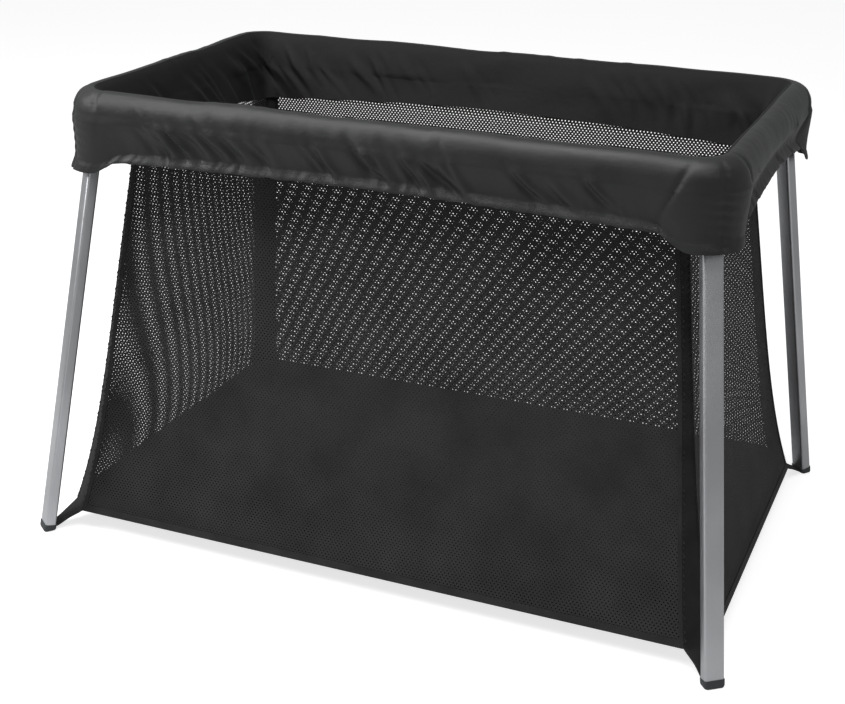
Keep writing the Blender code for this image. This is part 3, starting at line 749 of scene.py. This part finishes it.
def add_side_tape(side, end):
    """Tape down one edge of a wall, at its lower or higher end."""
    rows = []
    for height in heights(TUB_HEM, NET_TOP, TAPE_STEPS):
        reach = wall_reach(side, height)
        row = []
        for inset in (TAPE_WIDTH, TAPE_WIDTH / 2, -0.001):
            row.append(wall_point(side, end * (reach - inset), height, 0.0006))
        rows.append(row)
    name = f"tape_{side}_{'low' if end < 0 else 'high'}"
    tape = ribbon(name, rows, TAPE, TAPE_CLOTH)
    half = side if side in HALVES else ("left" if end < 0 else "right")
    tape_fold(tape, side, half)


def tape_fold(tape, side, half):
    gather(tape, half, *wall_fold(side))


def add_hem_tape(side, half=None):
    """Folded tape along the bottom of a wall."""
    reach = wall_reach(side, TUB_HEM)
    start = 0.0 if half else -reach
    end = reach * (HALVES[half] if half else 1)
    rows = []
    for step in range(TAPE_STEPS + 1):
        across = start + (end - start) * step / TAPE_STEPS
        row = []
        for rise in (-0.001, HEM_TAPE / 2, HEM_TAPE):
            row.append(wall_point(side, across, TUB_HEM + rise, 0.0008))
        rows.append(row)
    name = f"hem_{side}_{half}" if half else f"hem_end_{side}"
    tape = ribbon(name, rows, TAPE, TAPE_CLOTH)
    tape_fold(tape, side, half or side)


for side_name in (*SIDES, *HALVES):
    for end_sign in (-1, 1):
        add_side_tape(side_name, end_sign)
for side_name in SIDES:
    for half_name in HALVES:
        add_hem_tape(side_name, half_name)
for half_name in HALVES:
    add_hem_tape(half_name)


def add_strap(corner):
    """The wide tape down a corner of the tub, which narrows on its way to the foot."""
    side, half = corner.split("_")
    sign_x, sign_y = HALVES[half], SIDES[side]
    rows = []
    for height in reversed(heights(TUB_HEM, NET_TOP, TAPE_STEPS)):
        half_x, half_y = tub_sizes(height)
        cut = corner_cut(height)
        row = []
        for share in (0, 0.25, 0.5, 0.75, 1):
            x = half_x - cut * share
            y = half_y - cut * (1 - share)
            row.append((sign_x * x, sign_y * y, height))
        rows.append(row)
    low = np.array(rows[-1])
    foot_low, foot_high = (np.array(p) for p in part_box(f"foot_{corner}"))
    foot = (foot_low + foot_high) / 2
    out = foot[:2] - low[:, :2].mean(0)
    out /= np.linalg.norm(out)
    across = low[-1] - low[0]
    across /= np.linalg.norm(across)
    stop = np.array([foot[0], foot[1], 0.006]) - np.array([*out, 0]) * 0.0115
    last = [stop + across * w for w in (-0.0125, -0.006, 0, 0.006, 0.0125)]
    for step in range(1, STRAP_STEPS + 1):
        share = step / STRAP_STEPS
        row = []
        for a, b in zip(low, last):
            point = a + (b - a) * share
            point[2] = a[2] + (b[2] - a[2]) * (share**0.8)
            # the strap's free edges are drawn in between the tub and the foot
            point[:2] += (stop[:2] - point[:2]) * 0.16 * math.sin(math.pi * share)
            row.append(tuple(point))
        rows.append(row)
    strap = ribbon(f"corner_strap_{corner}", rows, TAPE, STRAP_CLOTH)
    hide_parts(f"strap_{corner}")
    lean = (sign_x * LEAN_X, sign_y * LEAN_Y)
    level = FOLDED_HEIGHT + STRAP_FOLDED_LIFT
    gather(strap, half, lean, (sign_x * TOP_X, sign_y * TOP_Y, level))


for corner_name in CORNERS:
    add_strap(corner_name)

# ---------------------------------------------------------------------------------------------
# Floor and mat. The floor is coated woven polyester, sewn to the hem. The mat is two foam boards
# in a soft black sleeve, which lie on it and just touch the walls.
# ---------------------------------------------------------------------------------------------
MAT_LAY_X = 0.40  # beyond these the folded mat leans in, to clear the rails
MAT_LAY_Y = 0.19
MAT_LEAN = 0.16
MAT_CELL = 0.009
MAT_EDGE = 0.008  # radius of the board's edges
MAT_REACH = ((0, 0.56), (1, 0.34))  # (axis, how far the cells run from the middle)
CROWN = 0.0015  # how far the sleeve stands up off its edges
CROWN_WIDTH = 0.05


def woven(name, color, roughness, pitch, depth, sheen):
    shade = Shader(name, color, roughness, specular=0.2)
    shade.main.inputs["Sheen Weight"].default_value = sheen
    shade.main.inputs["Sheen Roughness"].default_value = 0.5
    place = shade.place()
    weave = shade.weave(place, 0.5 / pitch, "Y", "MAXIMUM", 0.4, 0.0)
    cloud = shade.noise(place, 7, 4)
    shade.vary_color(cloud, "Fac", 0.18)
    shade.vary_roughness(cloud, "Fac", roughness - 0.08, roughness + 0.06)
    fine = shade.bump(weave, "Value", depth)
    soft = shade.noise(place, 160, 3)
    shade.bump(soft, "Fac", depth * 1.5, fine)
    return shade.material


FLOOR_CLOTH = woven("floor_cloth", (0.026, 0.025, 0.026), 0.7, 0.0009, 0.0001, 0.03)
MAT_CLOTH = woven("mat_cloth", (0.020, 0.0195, 0.020), 0.88, 0.0008, 0.00012, 0.06)


def cut_across(bm, point, normal, clear=False):
    """Cuts a mesh by a plane, and throws away what is outside it if clear is true."""
    bmesh.ops.bisect_plane(
        bm,
        geom=bm.verts[:] + bm.edges[:] + bm.faces[:],
        dist=SAME_POINT,
        plane_co=point,
        plane_no=normal,
        clear_outer=clear,
    )


def lay_zones():
    """The parts a folded panel splits into: (name, x range, y range, lean)."""
    far = 1.0
    across = {
        "front": (-far, -MAT_LAY_Y, -MAT_LEAN),
        "middle": (-MAT_LAY_Y, MAT_LAY_Y, 0.0),
        "back": (MAT_LAY_Y, far, MAT_LEAN),
    }
    along = {"": (0.0, MAT_LAY_X, 0.0), "_end": (MAT_LAY_X, far, MAT_LEAN)}
    for name_y, (low_y, high_y, lean_y) in across.items():
        for name_x, (low_x, high_x, lean_x) in along.items():
            yield name_y + name_x, (low_x, high_x), (low_y, high_y), (lean_x, lean_y)


def split_zones(panel, half):
    """Splits a panel where it folds. The cut edges meet, so no seam shows while it lies flat."""
    pieces = []
    sign = HALVES[half]
    for name, (low_x, high_x), (low_y, high_y), lean in lay_zones():
        bm = bmesh.new()
        bm.from_mesh(panel.data)
        cut_across(bm, (sign * low_x, 0, 0), (-sign, 0, 0), clear=True)
        cut_across(bm, (sign * high_x, 0, 0), (sign, 0, 0), clear=True)
        cut_across(bm, (0, low_y, 0), (0, -1, 0), clear=True)
        cut_across(bm, (0, high_y, 0), (0, 1, 0), clear=True)
        mesh = bpy.data.meshes.new(f"{panel.name}_{name}")
        bm.to_mesh(mesh)
        bm.free()
        mesh.materials.append(panel.data.materials[0])
        part = new_object(mesh.name, mesh)
        pieces.append((part, (sign * lean[0], lean[1])))
    bpy.data.objects.remove(panel)
    return pieces


def panel_outline(half, top, clearance):
    """A half panel's outline at a height, with its outer corners cut off."""
    half_x, half_y = tub_sizes(top)
    half_x, half_y = half_x - clearance, half_y - clearance
    cut = CORNER_CUT_FLOOR
    outline = [
        (0, -half_y),
        (half_x - cut, -half_y),
        (half_x, -half_y + cut),
        (half_x, half_y - cut),
        (half_x - cut, half_y),
        (0, half_y),
    ]
    sign = HALVES[half]
    return [(sign * x, y) for x, y in outline][:: int(sign)]


def flat_panel(name, outline, low, high, material):
    """A closed slab on an outline."""
    count = len(outline)
    points = [(x, y, low) for x, y in outline] + [(x, y, high) for x, y in outline]
    faces = [tuple(range(count))[::-1], tuple(range(count, 2 * count))]
    for i in range(count):
        j = (i + 1) % count
        faces.append((i, j, count + j, count + i))
    return mesh_object(name, points, faces, material)


def add_floor(half):
    """A stretched sheet of cloth on the hem, in the zones that it folds in."""
    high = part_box(f"floor_{half}")[1][2]
    outline = panel_outline(half, high, 0.0012)
    points = [(x, y, high) for x, y in outline]
    face = tuple(range(len(points)))
    panel = mesh_object(f"floor_{half}_cloth", points, [face], FLOOR_CLOTH)
    for part, lean in split_zones(panel, half):
        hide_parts(f"floor_{half}")
        gather(part, half, lean, folded_anchor(half, part))


def folded_anchor(half, part):
    """The point that a part of the floor or mat is drawn to: the inner edge it leans in to."""
    slide = MAT_LEAN * FOLDED_HEIGHT
    x = HALVES[half] * (MAT_LAY_X - slide if part.name.endswith("_end") else 0)
    y = 0
    if "_front" in part.name:
        y = slide - MAT_LAY_Y
    elif "_back" in part.name:
        y = MAT_LAY_Y - slide
    return (x, y, FOLDED_HEIGHT)


def soft_height(x, y):
    """Slow unevenness of foam under a sleeve, in metres."""
    wave = np.sin(x * 13.0 + 0.7) * np.sin(y * 17.0 + 1.9) * 0.0009
    wave = wave + np.sin(x * 31.0 + y * 23.0) * 0.00045
    return wave + np.sin(x * 47.0 - y * 39.0 + 2.0) * 0.0003


def add_mat(half):
    """A foam board in its sleeve: a crowned slab whose sides are rounded and seamed."""
    low, high = (p[2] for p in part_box(f"mat_{half}"))
    outline = panel_outline(half, high, 0.0035)
    panel = flat_panel(f"mat_{half}_sleeve", outline, low, high, MAT_CLOTH)
    bm = bmesh.new()
    bm.from_mesh(panel.data)
    bmesh.ops.bevel(
        bm, geom=bm.edges[:], offset=MAT_EDGE, segments=4, profile=0.6, affect="EDGES"
    )
    for axis, reach in MAT_REACH:
        count = int(2 * reach / MAT_CELL)
        for step in range(count + 1):
            point, normal = [0, 0, 0], [0, 0, 0]
            point[axis] = -reach + 2 * reach * step / count
            normal[axis] = 1
            cut_across(bm, point, normal)
    middle = (low + high) / 2
    for vert in bm.verts:
        if vert.co.z > middle:
            inside = min(
                abs(vert.co.x) / CROWN_WIDTH,
                (FLOOR_X - abs(vert.co.x)) / CROWN_WIDTH,
                (FLOOR_Y - abs(vert.co.y)) / CROWN_WIDTH,
                1.0,
            )
            lift = CROWN * max(inside, 0) + float(soft_height(vert.co.x, vert.co.y))
            vert.co.z += lift
    bm.to_mesh(panel.data)
    bm.free()
    for part, lean in split_zones(panel, half):
        part.data.shade_smooth()
        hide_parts(f"mat_{half}")
        gather(part, half, lean, folded_anchor(half, part))


for half_name in HALVES:
    add_floor(half_name)
    add_mat(half_name)

# ---------------------------------------------------------------------------------------------
# Rail cover. A sleeve of coated black polyester over the padded rails, all in one loop: a skirt
# outside, a roll on top and a short return inside, gathered on elastic along its hem.
# ---------------------------------------------------------------------------------------------
rail_low, rail_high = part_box("rail_front_right")
end_low, end_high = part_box("rail_end_right")
cover_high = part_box("cover_right")[1]
RAIL_X = (end_low.x + end_high.x) / 2
RAIL_Y = -(rail_low.y + rail_high.y) / 2
RAIL_Z = (rail_low.z + rail_high.z) / 2
ROLL = cover_high.x - RAIL_X  # from the rail's middle to the cover's outside
ROLL_TOP = cover_high.z + 0.003
SKIRT_HEM = 0.6205
FLAP_HEM = 0.6025
HEM_BAND = 0.014
COVER_CLOTH = 0.0014
RETURN_EDGE = 0.672
FRONT_FLAP = 0.050  # how far from a corner the hem comes down to its flap
END_FLAP = 0.028
SKIRT_CORNER = 0.074
FRONT_ARCH = 0.011  # how far the hem rises in the middle of a side
END_ARCH = 0.026
FRONT_STATIONS = 250
END_STATIONS = 126
CORNER_STATIONS = 26
COVER_ROWS = 52
LEANS = {"right": 0.013, "left": 0.011}  # how far the ends' skirts are drawn in
SIDE_CALM = {"right": 0.5}  # the right end is pulled smoother than the rest


def loop_stations():
    """Stations round the cover: (side or corner, share along it), anticlockwise from above."""
    order = [
        ("front", FRONT_STATIONS),
        ("front_right", CORNER_STATIONS),
        ("right", END_STATIONS),
        ("back_right", CORNER_STATIONS),
        ("back", FRONT_STATIONS),
        ("back_left", CORNER_STATIONS),
        ("left", END_STATIONS),
        ("front_left", CORNER_STATIONS),
    ]
    return [(name, (i + 0.5) / count) for name, count in order for i in range(count)]


def loop_point(name, share, out, radius):
    """Where a station lies, out from the rails' middle, and the way it faces."""
    half_x, half_y = RAIL_X + out - radius, RAIL_Y + out - radius
    starts = {"front": -90, "right": 0, "back": 90, "left": 180}
    turns = {"front_right": -90, "back_right": 0, "back_left": 90, "front_left": 180}
    if name in turns:
        angle = math.radians(turns[name] + 90 * share)
        normal = math.cos(angle), math.sin(angle)
        middle_x = half_x if "right" in name else -half_x
        middle_y = half_y if "back" in name else -half_y
        return (middle_x + radius * normal[0], middle_y + radius * normal[1]), normal
    angle = math.radians(starts[name])
    normal = round(math.cos(angle)), round(math.sin(angle))
    way = 2 * share - 1
    if name in SIDES:
        return (-normal[1] * way * half_x, normal[1] * (half_y + radius)), normal
    return (normal[0] * (half_x + radius), normal[0] * way * half_y), normal


def ripple(u, v, seed):
    """Smooth unevenness from -1 to 1 over two lengths, each in waves."""
    total = 0
    for k, (turn, pitch, weight) in enumerate(
        ((0.3, 1.0, 0.5), (1.7, 1.63, 0.3), (2.9, 2.71, 0.2))
    ):
        angle = turn + seed * (1.3 + k)
        total = total + weight * np.sin(
            2 * math.pi * pitch * (u * math.cos(0.35 * angle) + v * math.sin(angle))
            + seed * 5.1
            + k * 2.3
        )
    return total


def creases(along, height, middle, spread, count, seed, way=1):
    """Drag folds: short slanting ridges, each with a valley beside it, from -1 to 1 or so."""
    draw = np.random.default_rng(seed)
    total = np.zeros_like(along)
    for _ in range(count):
        start = middle + spread * (2 * draw.random() - 1)
        level = RAIL_Z - 0.025 + 0.035 * (draw.random() - 0.5)
        slope = way * (0.45 + 0.75 * draw.random())
        width = 0.0032 + 0.0048 * draw.random()
        reach = 0.024 + 0.032 * draw.random()
        strength = 0.45 + 0.65 * draw.random()
        long = math.hypot(1, slope)
        off = ((along - start) + slope * (height - level)) / long / width
        down = ((height - level) - slope * (along - start)) / long / reach
        bend = off - 0.35 * down**2
        total += strength * bend * np.exp(0.5 - 0.5 * bend**2 - down**2)
    return total


def smooth_step(value, low, high):
    share = np.clip((value - low) / (high - low), 0, 1)
    return share * share * (3 - 2 * share)


def run_lengths():
    """Distance round the loop at each station, measured on the cover's outside."""
    points = np.array([loop_point(n, s, ROLL, 0.05)[0] for n, s in loop_stations()])
    steps = np.linalg.norm(points - np.roll(points, 1, axis=0), axis=1)
    steps[0] = 0
    return np.cumsum(steps)


def cover_section(name, share):
    """The cover's section at a station: rows of (out, height, corner radius)."""
    corner = "_" in name
    arch = 0.0 if corner else math.sin(math.pi * share)
    rise = {"front": FRONT_ARCH, "back": FRONT_ARCH}.get(name, END_ARCH) * arch**0.8
    hem = SKIRT_HEM + rise
    if corner:
        flap = 1.0
    else:
        length = 2 * (RAIL_X if name in SIDES else RAIL_Y)
        from_corner = min(share, 1 - share) * length
        slope = FRONT_FLAP if name in SIDES else END_FLAP
        flap = 1 - float(smooth_step(from_corner, 0.0, slope))
    hem = hem + (FLAP_HEM - hem) * flap
    section = []
    skirt_rows, roll_rows, return_rows = 28, 12, 12
    for i in range(skirt_rows):
        part = i / skirt_rows
        height = hem + (RAIL_Z - 0.004 - hem) * part
        # the skirt leans in below its shoulder to the elastic, and the hem band flares again
        above = height - hem
        lean = LEANS.get(name, 0.009) * (1 - 0.65 * flap)
        drawn = float(smooth_step(RAIL_Z + 0.004 - height, 0, RAIL_Z - hem - HEM_BAND))
        flare = 0.55 * lean * (1 - float(smooth_step(above, 0.0, HEM_BAND)))
        band = 0.0010 * (1 - float(smooth_step(above, HEM_BAND - 0.002, HEM_BAND + 0.001)))
        out = ROLL + 0.0005 - lean * drawn + flare + band
        section.append((out, height, SKIRT_CORNER - 0.016 * (1 - part) ** 2))
    base = RAIL_Z - 0.004
    for i in range(roll_rows):
        angle = math.pi / 2 * (i + 0.5) / roll_rows
        out = (ROLL - 0.002) * math.cos(angle) ** 0.9
        height = base + (ROLL_TOP - base) * math.sin(angle) ** 0.85
        section.append((out, height, SKIRT_CORNER + (out - ROLL) * 0.94))
    for i in range(return_rows):
        part = (i + 1) / return_rows
        height = ROLL_TOP - (ROLL_TOP - RETURN_EDGE) * part**1.5
        section.append(((0.002 - ROLL) * part, height, 0.045 - 0.027 * part))
    return section, hem, flap


def cover_points():
    """The loop of cloth, with the folds and puckers sewn into it."""
    stations = loop_stations()
    run = run_lengths()
    grid = np.empty((len(stations), COVER_ROWS, 3))
    normal = np.empty((len(stations), 2))
    level = np.empty((len(stations), COVER_ROWS))
    hems = np.empty(len(stations))
    flaps = np.empty(len(stations))
    outward = np.empty((len(stations), COVER_ROWS))
    for i, (name, share) in enumerate(stations):
        section, hems[i], flaps[i] = cover_section(name, share)
        for j, (out, height, radius) in enumerate(section):
            (x, y), way = loop_point(name, share, out, radius)
            grid[i, j] = x, y, height
            outward[i, j] = out
        normal[i] = way
        level[i] = [height for _, height, _ in section]
    u = run[:, None] * np.ones((1, COVER_ROWS))
    v = level
    down = np.clip((RAIL_Z - v) / (RAIL_Z - SKIRT_HEM), 0, 1.2)
    outside = outward > 0
    # slow swells along the whole sleeve, and slanting drag folds on its face
    swell = ripple(u / 0.34, v / 0.9, 1.0)
    calm = np.array([SIDE_CALM.get(name, 1.0) for name, _ in stations])[:, None]
    patch = smooth_step(ripple(u / 0.42 + 0.2, 0 * v, 2.0), -0.45, 0.45)
    face = np.sin(math.pi * np.clip(down * 0.80 + 0.14, 0, 1)) ** 0.7
    starts = {n: float(np.min(run[[m == n for m, _ in stations]])) for n in LEANS}
    right, left = starts["right"], starts["left"]
    drags = (
        creases(u, v, 0.32, 0.24, 24, 11)
        + creases(u, v, 0.70, 0.20, 9, 12)
        + creases(u, v, right + 0.25, 0.2, 5, 13)
        + creases(u, v, (right + left) / 2 + 0.25, 0.4, 24, 14)
        + creases(u, v, left + 0.25, 0.2, 10, 15)
    )
    folds = 0.0058 * np.clip(drags, -1.4, 1.4) * face
    folds = folds + 0.0012 * face * ripple(u / 0.16, v / 0.14, 3.0)
    # gathers that fan up from the elastic, shorter and tighter at the hem
    gather_phase = u / 0.027 + 0.9 * ripple(u / 0.11, v / 0.16, 5.0)
    tight = u / 0.0135 + 0.5 * ripple(u / 0.05, v / 0.2, 6.0)
    near_hem = np.exp(-np.abs(v - hems[:, None] - HEM_BAND * 0.8) / 0.013)
    uneven = np.clip(0.55 + 0.65 * ripple(u / 0.13, 0 * v, 9.0), 0.1, 1.2)
    puckers = near_hem * uneven * (
        0.0014 * np.sin(2 * math.pi * gather_phase) + 0.0007 * np.sin(2 * math.pi * tight)
    )
    puckers = puckers * (1 - 0.7 * flaps[:, None])
    # the padding under the roll is lumpy, and the cloth over it wrinkles a little
    top = smooth_step(v, RAIL_Z - 0.012, RAIL_Z + 0.016)
    roll = top * (
        0.0013 * ripple(u / 0.24, v / 0.11, 8.0)
        + 0.0011 * patch * np.clip(ripple(u / 0.075, v / 0.2, 7.0), 0, 1)
    )
    # a seam down the middle of each corner draws the cloth in and puckers it
    centres = [np.mean(run[[n == c for n, _ in stations]]) for c in CORNERS]
    from_seam = np.min([np.abs(run - centre) for centre in centres], axis=0)[:, None]
    seam = np.exp(-((from_seam / 0.0035) ** 2)) * -0.0030
    seam = seam + np.exp(-from_seam / 0.012) * 0.0009 * np.sin(v / 0.0022 + u / 0.01)
    # and a slanting seam on each side of it closes the corner's patch
    patch_edge = from_seam - 0.030 - 0.5 * (ROLL_TOP - v)
    seam = seam - 0.0032 * np.exp(-((patch_edge / 0.0032) ** 2)) * smooth_step(
        v, FLAP_HEM + 0.01, FLAP_HEM + 0.02
    )
    seam = seam + 0.0016 * (1 - smooth_step(patch_edge, -0.012, 0.0))
    push = 0.0014 * swell + (folds * (1 - 0.5 * flaps[:, None]) + puckers) * outside
    push = (push + 0.6 * roll) * calm + seam * outside
    side = np.where(outside, 1.0, -1.0)
    reach = np.clip(np.abs(outward) / ROLL, 0, 1)
    grid[:, :, 0] += normal[:, None, 0] * side * reach * push
    grid[:, :, 1] += normal[:, None, 1] * side * reach * push
    grid[:, :, 2] += calm * roll * np.sqrt(np.clip(1 - reach**2, 0, 1))
    grid[:, :, 2] += 0.0010 * swell * top
    # the hem's lower edge wanders with the gathers
    edge = np.clip(1 - (v - hems[:, None]) / 0.012, 0, 1) * (1 - flaps[:, None])
    grid[:, :, 2] += edge * 0.0007 * np.sin(2 * math.pi * gather_phase + 1.1)
    return grid, u


def coated_cloth(name, color, roughness, specular):
    """Polyester with a coating, so it keeps a dull gleam where it turns to the light."""
    shade = Shader(name, color, roughness, specular=specular)
    shade.main.inputs["Sheen Weight"].default_value = 0.05
    shade.main.inputs["Sheen Roughness"].default_value = 0.35
    shade.main.inputs["Sheen Tint"].default_value = (0.8, 0.9, 0.9, 1)
    place = shade.place()
    cloud = shade.noise(place, 16, 4)
    shade.vary_color(cloud, "Fac", 0.22)
    shade.vary_roughness(cloud, "Fac", roughness - 0.05, roughness + 0.07)
    crumple = shade.noise(place, 75, 4, 0.55)
    rough = shade.bump(crumple, "Fac", 0.0007)
    weave = shade.weave(place, 620.0, "Z", "ADD", 0.3, 0.3)
    shade.bump(weave, "Value", 0.00003, rough)
    return shade.material


COATED = coated_cloth("coated_polyester", (0.0125, 0.0130, 0.0133), 0.46, 0.50)


def add_cover():
    grid, u = cover_points()
    stations = len(grid)
    points = grid.reshape(-1, 3)
    faces = [
        (a, d, c, b)
        for a, b, c, d in grid_faces(stations, COVER_ROWS, closed_rows=True)
    ]
    rise = np.zeros(grid.shape[:2])
    rise[:, 1:] = np.cumsum(np.linalg.norm(np.diff(grid, axis=1), axis=2), axis=1)
    uv = np.stack((u, rise), axis=2).reshape(-1, 2)
    cover = mesh_object("rail_cover", points, faces, COATED, uv=uv)
    thicken(cover, COVER_CLOTH, -1.0)
    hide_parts("cover_left", "cover_right")
    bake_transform(cover)
    return grid


cover_grid = add_cover()

# ---------------------------------------------------------------------------------------------
# Inner skirts. The same cloth, from the top of the roll down its inside and on over the top of
# the net, hanging in soft folds. One for each half, so that the yard can fold.
# ---------------------------------------------------------------------------------------------
INNER_HEM = 0.6170
INNER_ARCH = 0.017
INNER_LEAN = 0.017
ROLL_ROWS = 12  # of the cover's own rows, down the roll's inside
HANG_ROWS = 18
# the inner skirts use the cover's coated cloth made darker and less glossy: painted shade on the inside of the
# roll
SHADED_COATED = coated_cloth("cover_lining", (0.0100, 0.0098, 0.0100), 0.66, 0.16)


def half_stations(half):
    """The stations of one half, in order, from one middle of the long sides to the other."""
    if half == "right":
        order = ("front", "front_right", "right", "back_right", "back")
    else:
        order = ("back", "back_left", "left", "front_left", "front")
    kept = []
    for i, (name, share) in enumerate(loop_stations()):
        if name in SIDES:
            way = (2 * share - 1) * (1 if name == "front" else -1)
            if (way > 0) != (half == "right"):
                continue
        elif half not in name:
            continue
        kept.append((order.index(name), i, name, share))
    return [(i, name, share) for _, i, name, share in sorted(kept)]


def inner_skirt_points(half):
    rows = half_stations(half)
    grid = np.empty((len(rows), ROLL_ROWS + HANG_ROWS, 3))
    normal = np.empty((len(rows), 2))
    for k, (i, name, share) in enumerate(rows):
        arch = 0.0 if "_" in name else math.sin(math.pi * share)
        hem = INNER_HEM + INNER_ARCH * arch
        roll = cover_grid[i, -ROLL_ROWS:]
        grid[k, :ROLL_ROWS] = roll
        for j in range(HANG_ROWS):
            part = (j + 1) / HANG_ROWS
            out = 0.002 - ROLL - INNER_LEAN * part**1.1
            x, y = loop_point(name, share, out, 0.018 + 0.008 * part)[0]
            height = RETURN_EDGE + (hem - RETURN_EDGE) * part
            grid[k, ROLL_ROWS + j] = x, y, height
        normal[k] = loop_point(name, share, 0, 0.03)[1]
    steps = np.linalg.norm(np.diff(grid[:, ROLL_ROWS], axis=0), axis=1)
    along = np.concatenate(([0], np.cumsum(steps)))[:, None] + 0 * grid[:, :, 2]
    height = grid[:, :, 2]
    low = smooth_step(ROLL_TOP - height, 0.004, 0.050)
    # on the left half the folds crowd together, and on the right they are few and long
    middle, spread, count = (0.30, 0.26, 26) if half == "left" else (0.9, 0.30, 9)
    folds = 0.0058 * creases(along, height - 0.030, middle, spread, count, 21, way=-1)
    folds = folds + 0.0040 * creases(along, height - 0.004, 0.68, 0.6, 22, 22, way=-1)
    folds = folds + 0.0022 * ripple(along / 0.17, height / 0.25, 9.0)
    off = 0.0016 * smooth_step(ROLL_TOP - height, 0.001, 0.008) + low * np.clip(
        folds + 0.0012, -0.0010, 0.0075
    )
    grid[:, :, 0] -= normal[:, None, 0] * off
    grid[:, :, 1] -= normal[:, None, 1] * off
    # the two halves meet on the middle line
    grid[0, :, 0] = grid[-1, :, 0] = 0.0
    return grid, along[:, 0]


def add_inner_skirt(half):
    """One half's skirt, attached to that half's frame."""
    grid, along = inner_skirt_points(half)
    rows = grid.shape[1]
    fall = ROLL_TOP - INNER_HEM
    uv = np.stack(
        np.broadcast_arrays(along[:, None], np.linspace(0, fall, rows)[None, :]),
        axis=2,
    ).reshape(-1, 2)
    faces = grid_faces(len(grid), rows)
    skirt = mesh_object(
        f"inner_skirt_{half}", grid.reshape(-1, 3), faces, SHADED_COATED, uv=uv
    )
    thicken(skirt, COVER_CLOTH, 0.0)
    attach(skirt, f"{half}_frame")
    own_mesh(skirt)


for half_name in HALVES:
    add_inner_skirt(half_name)
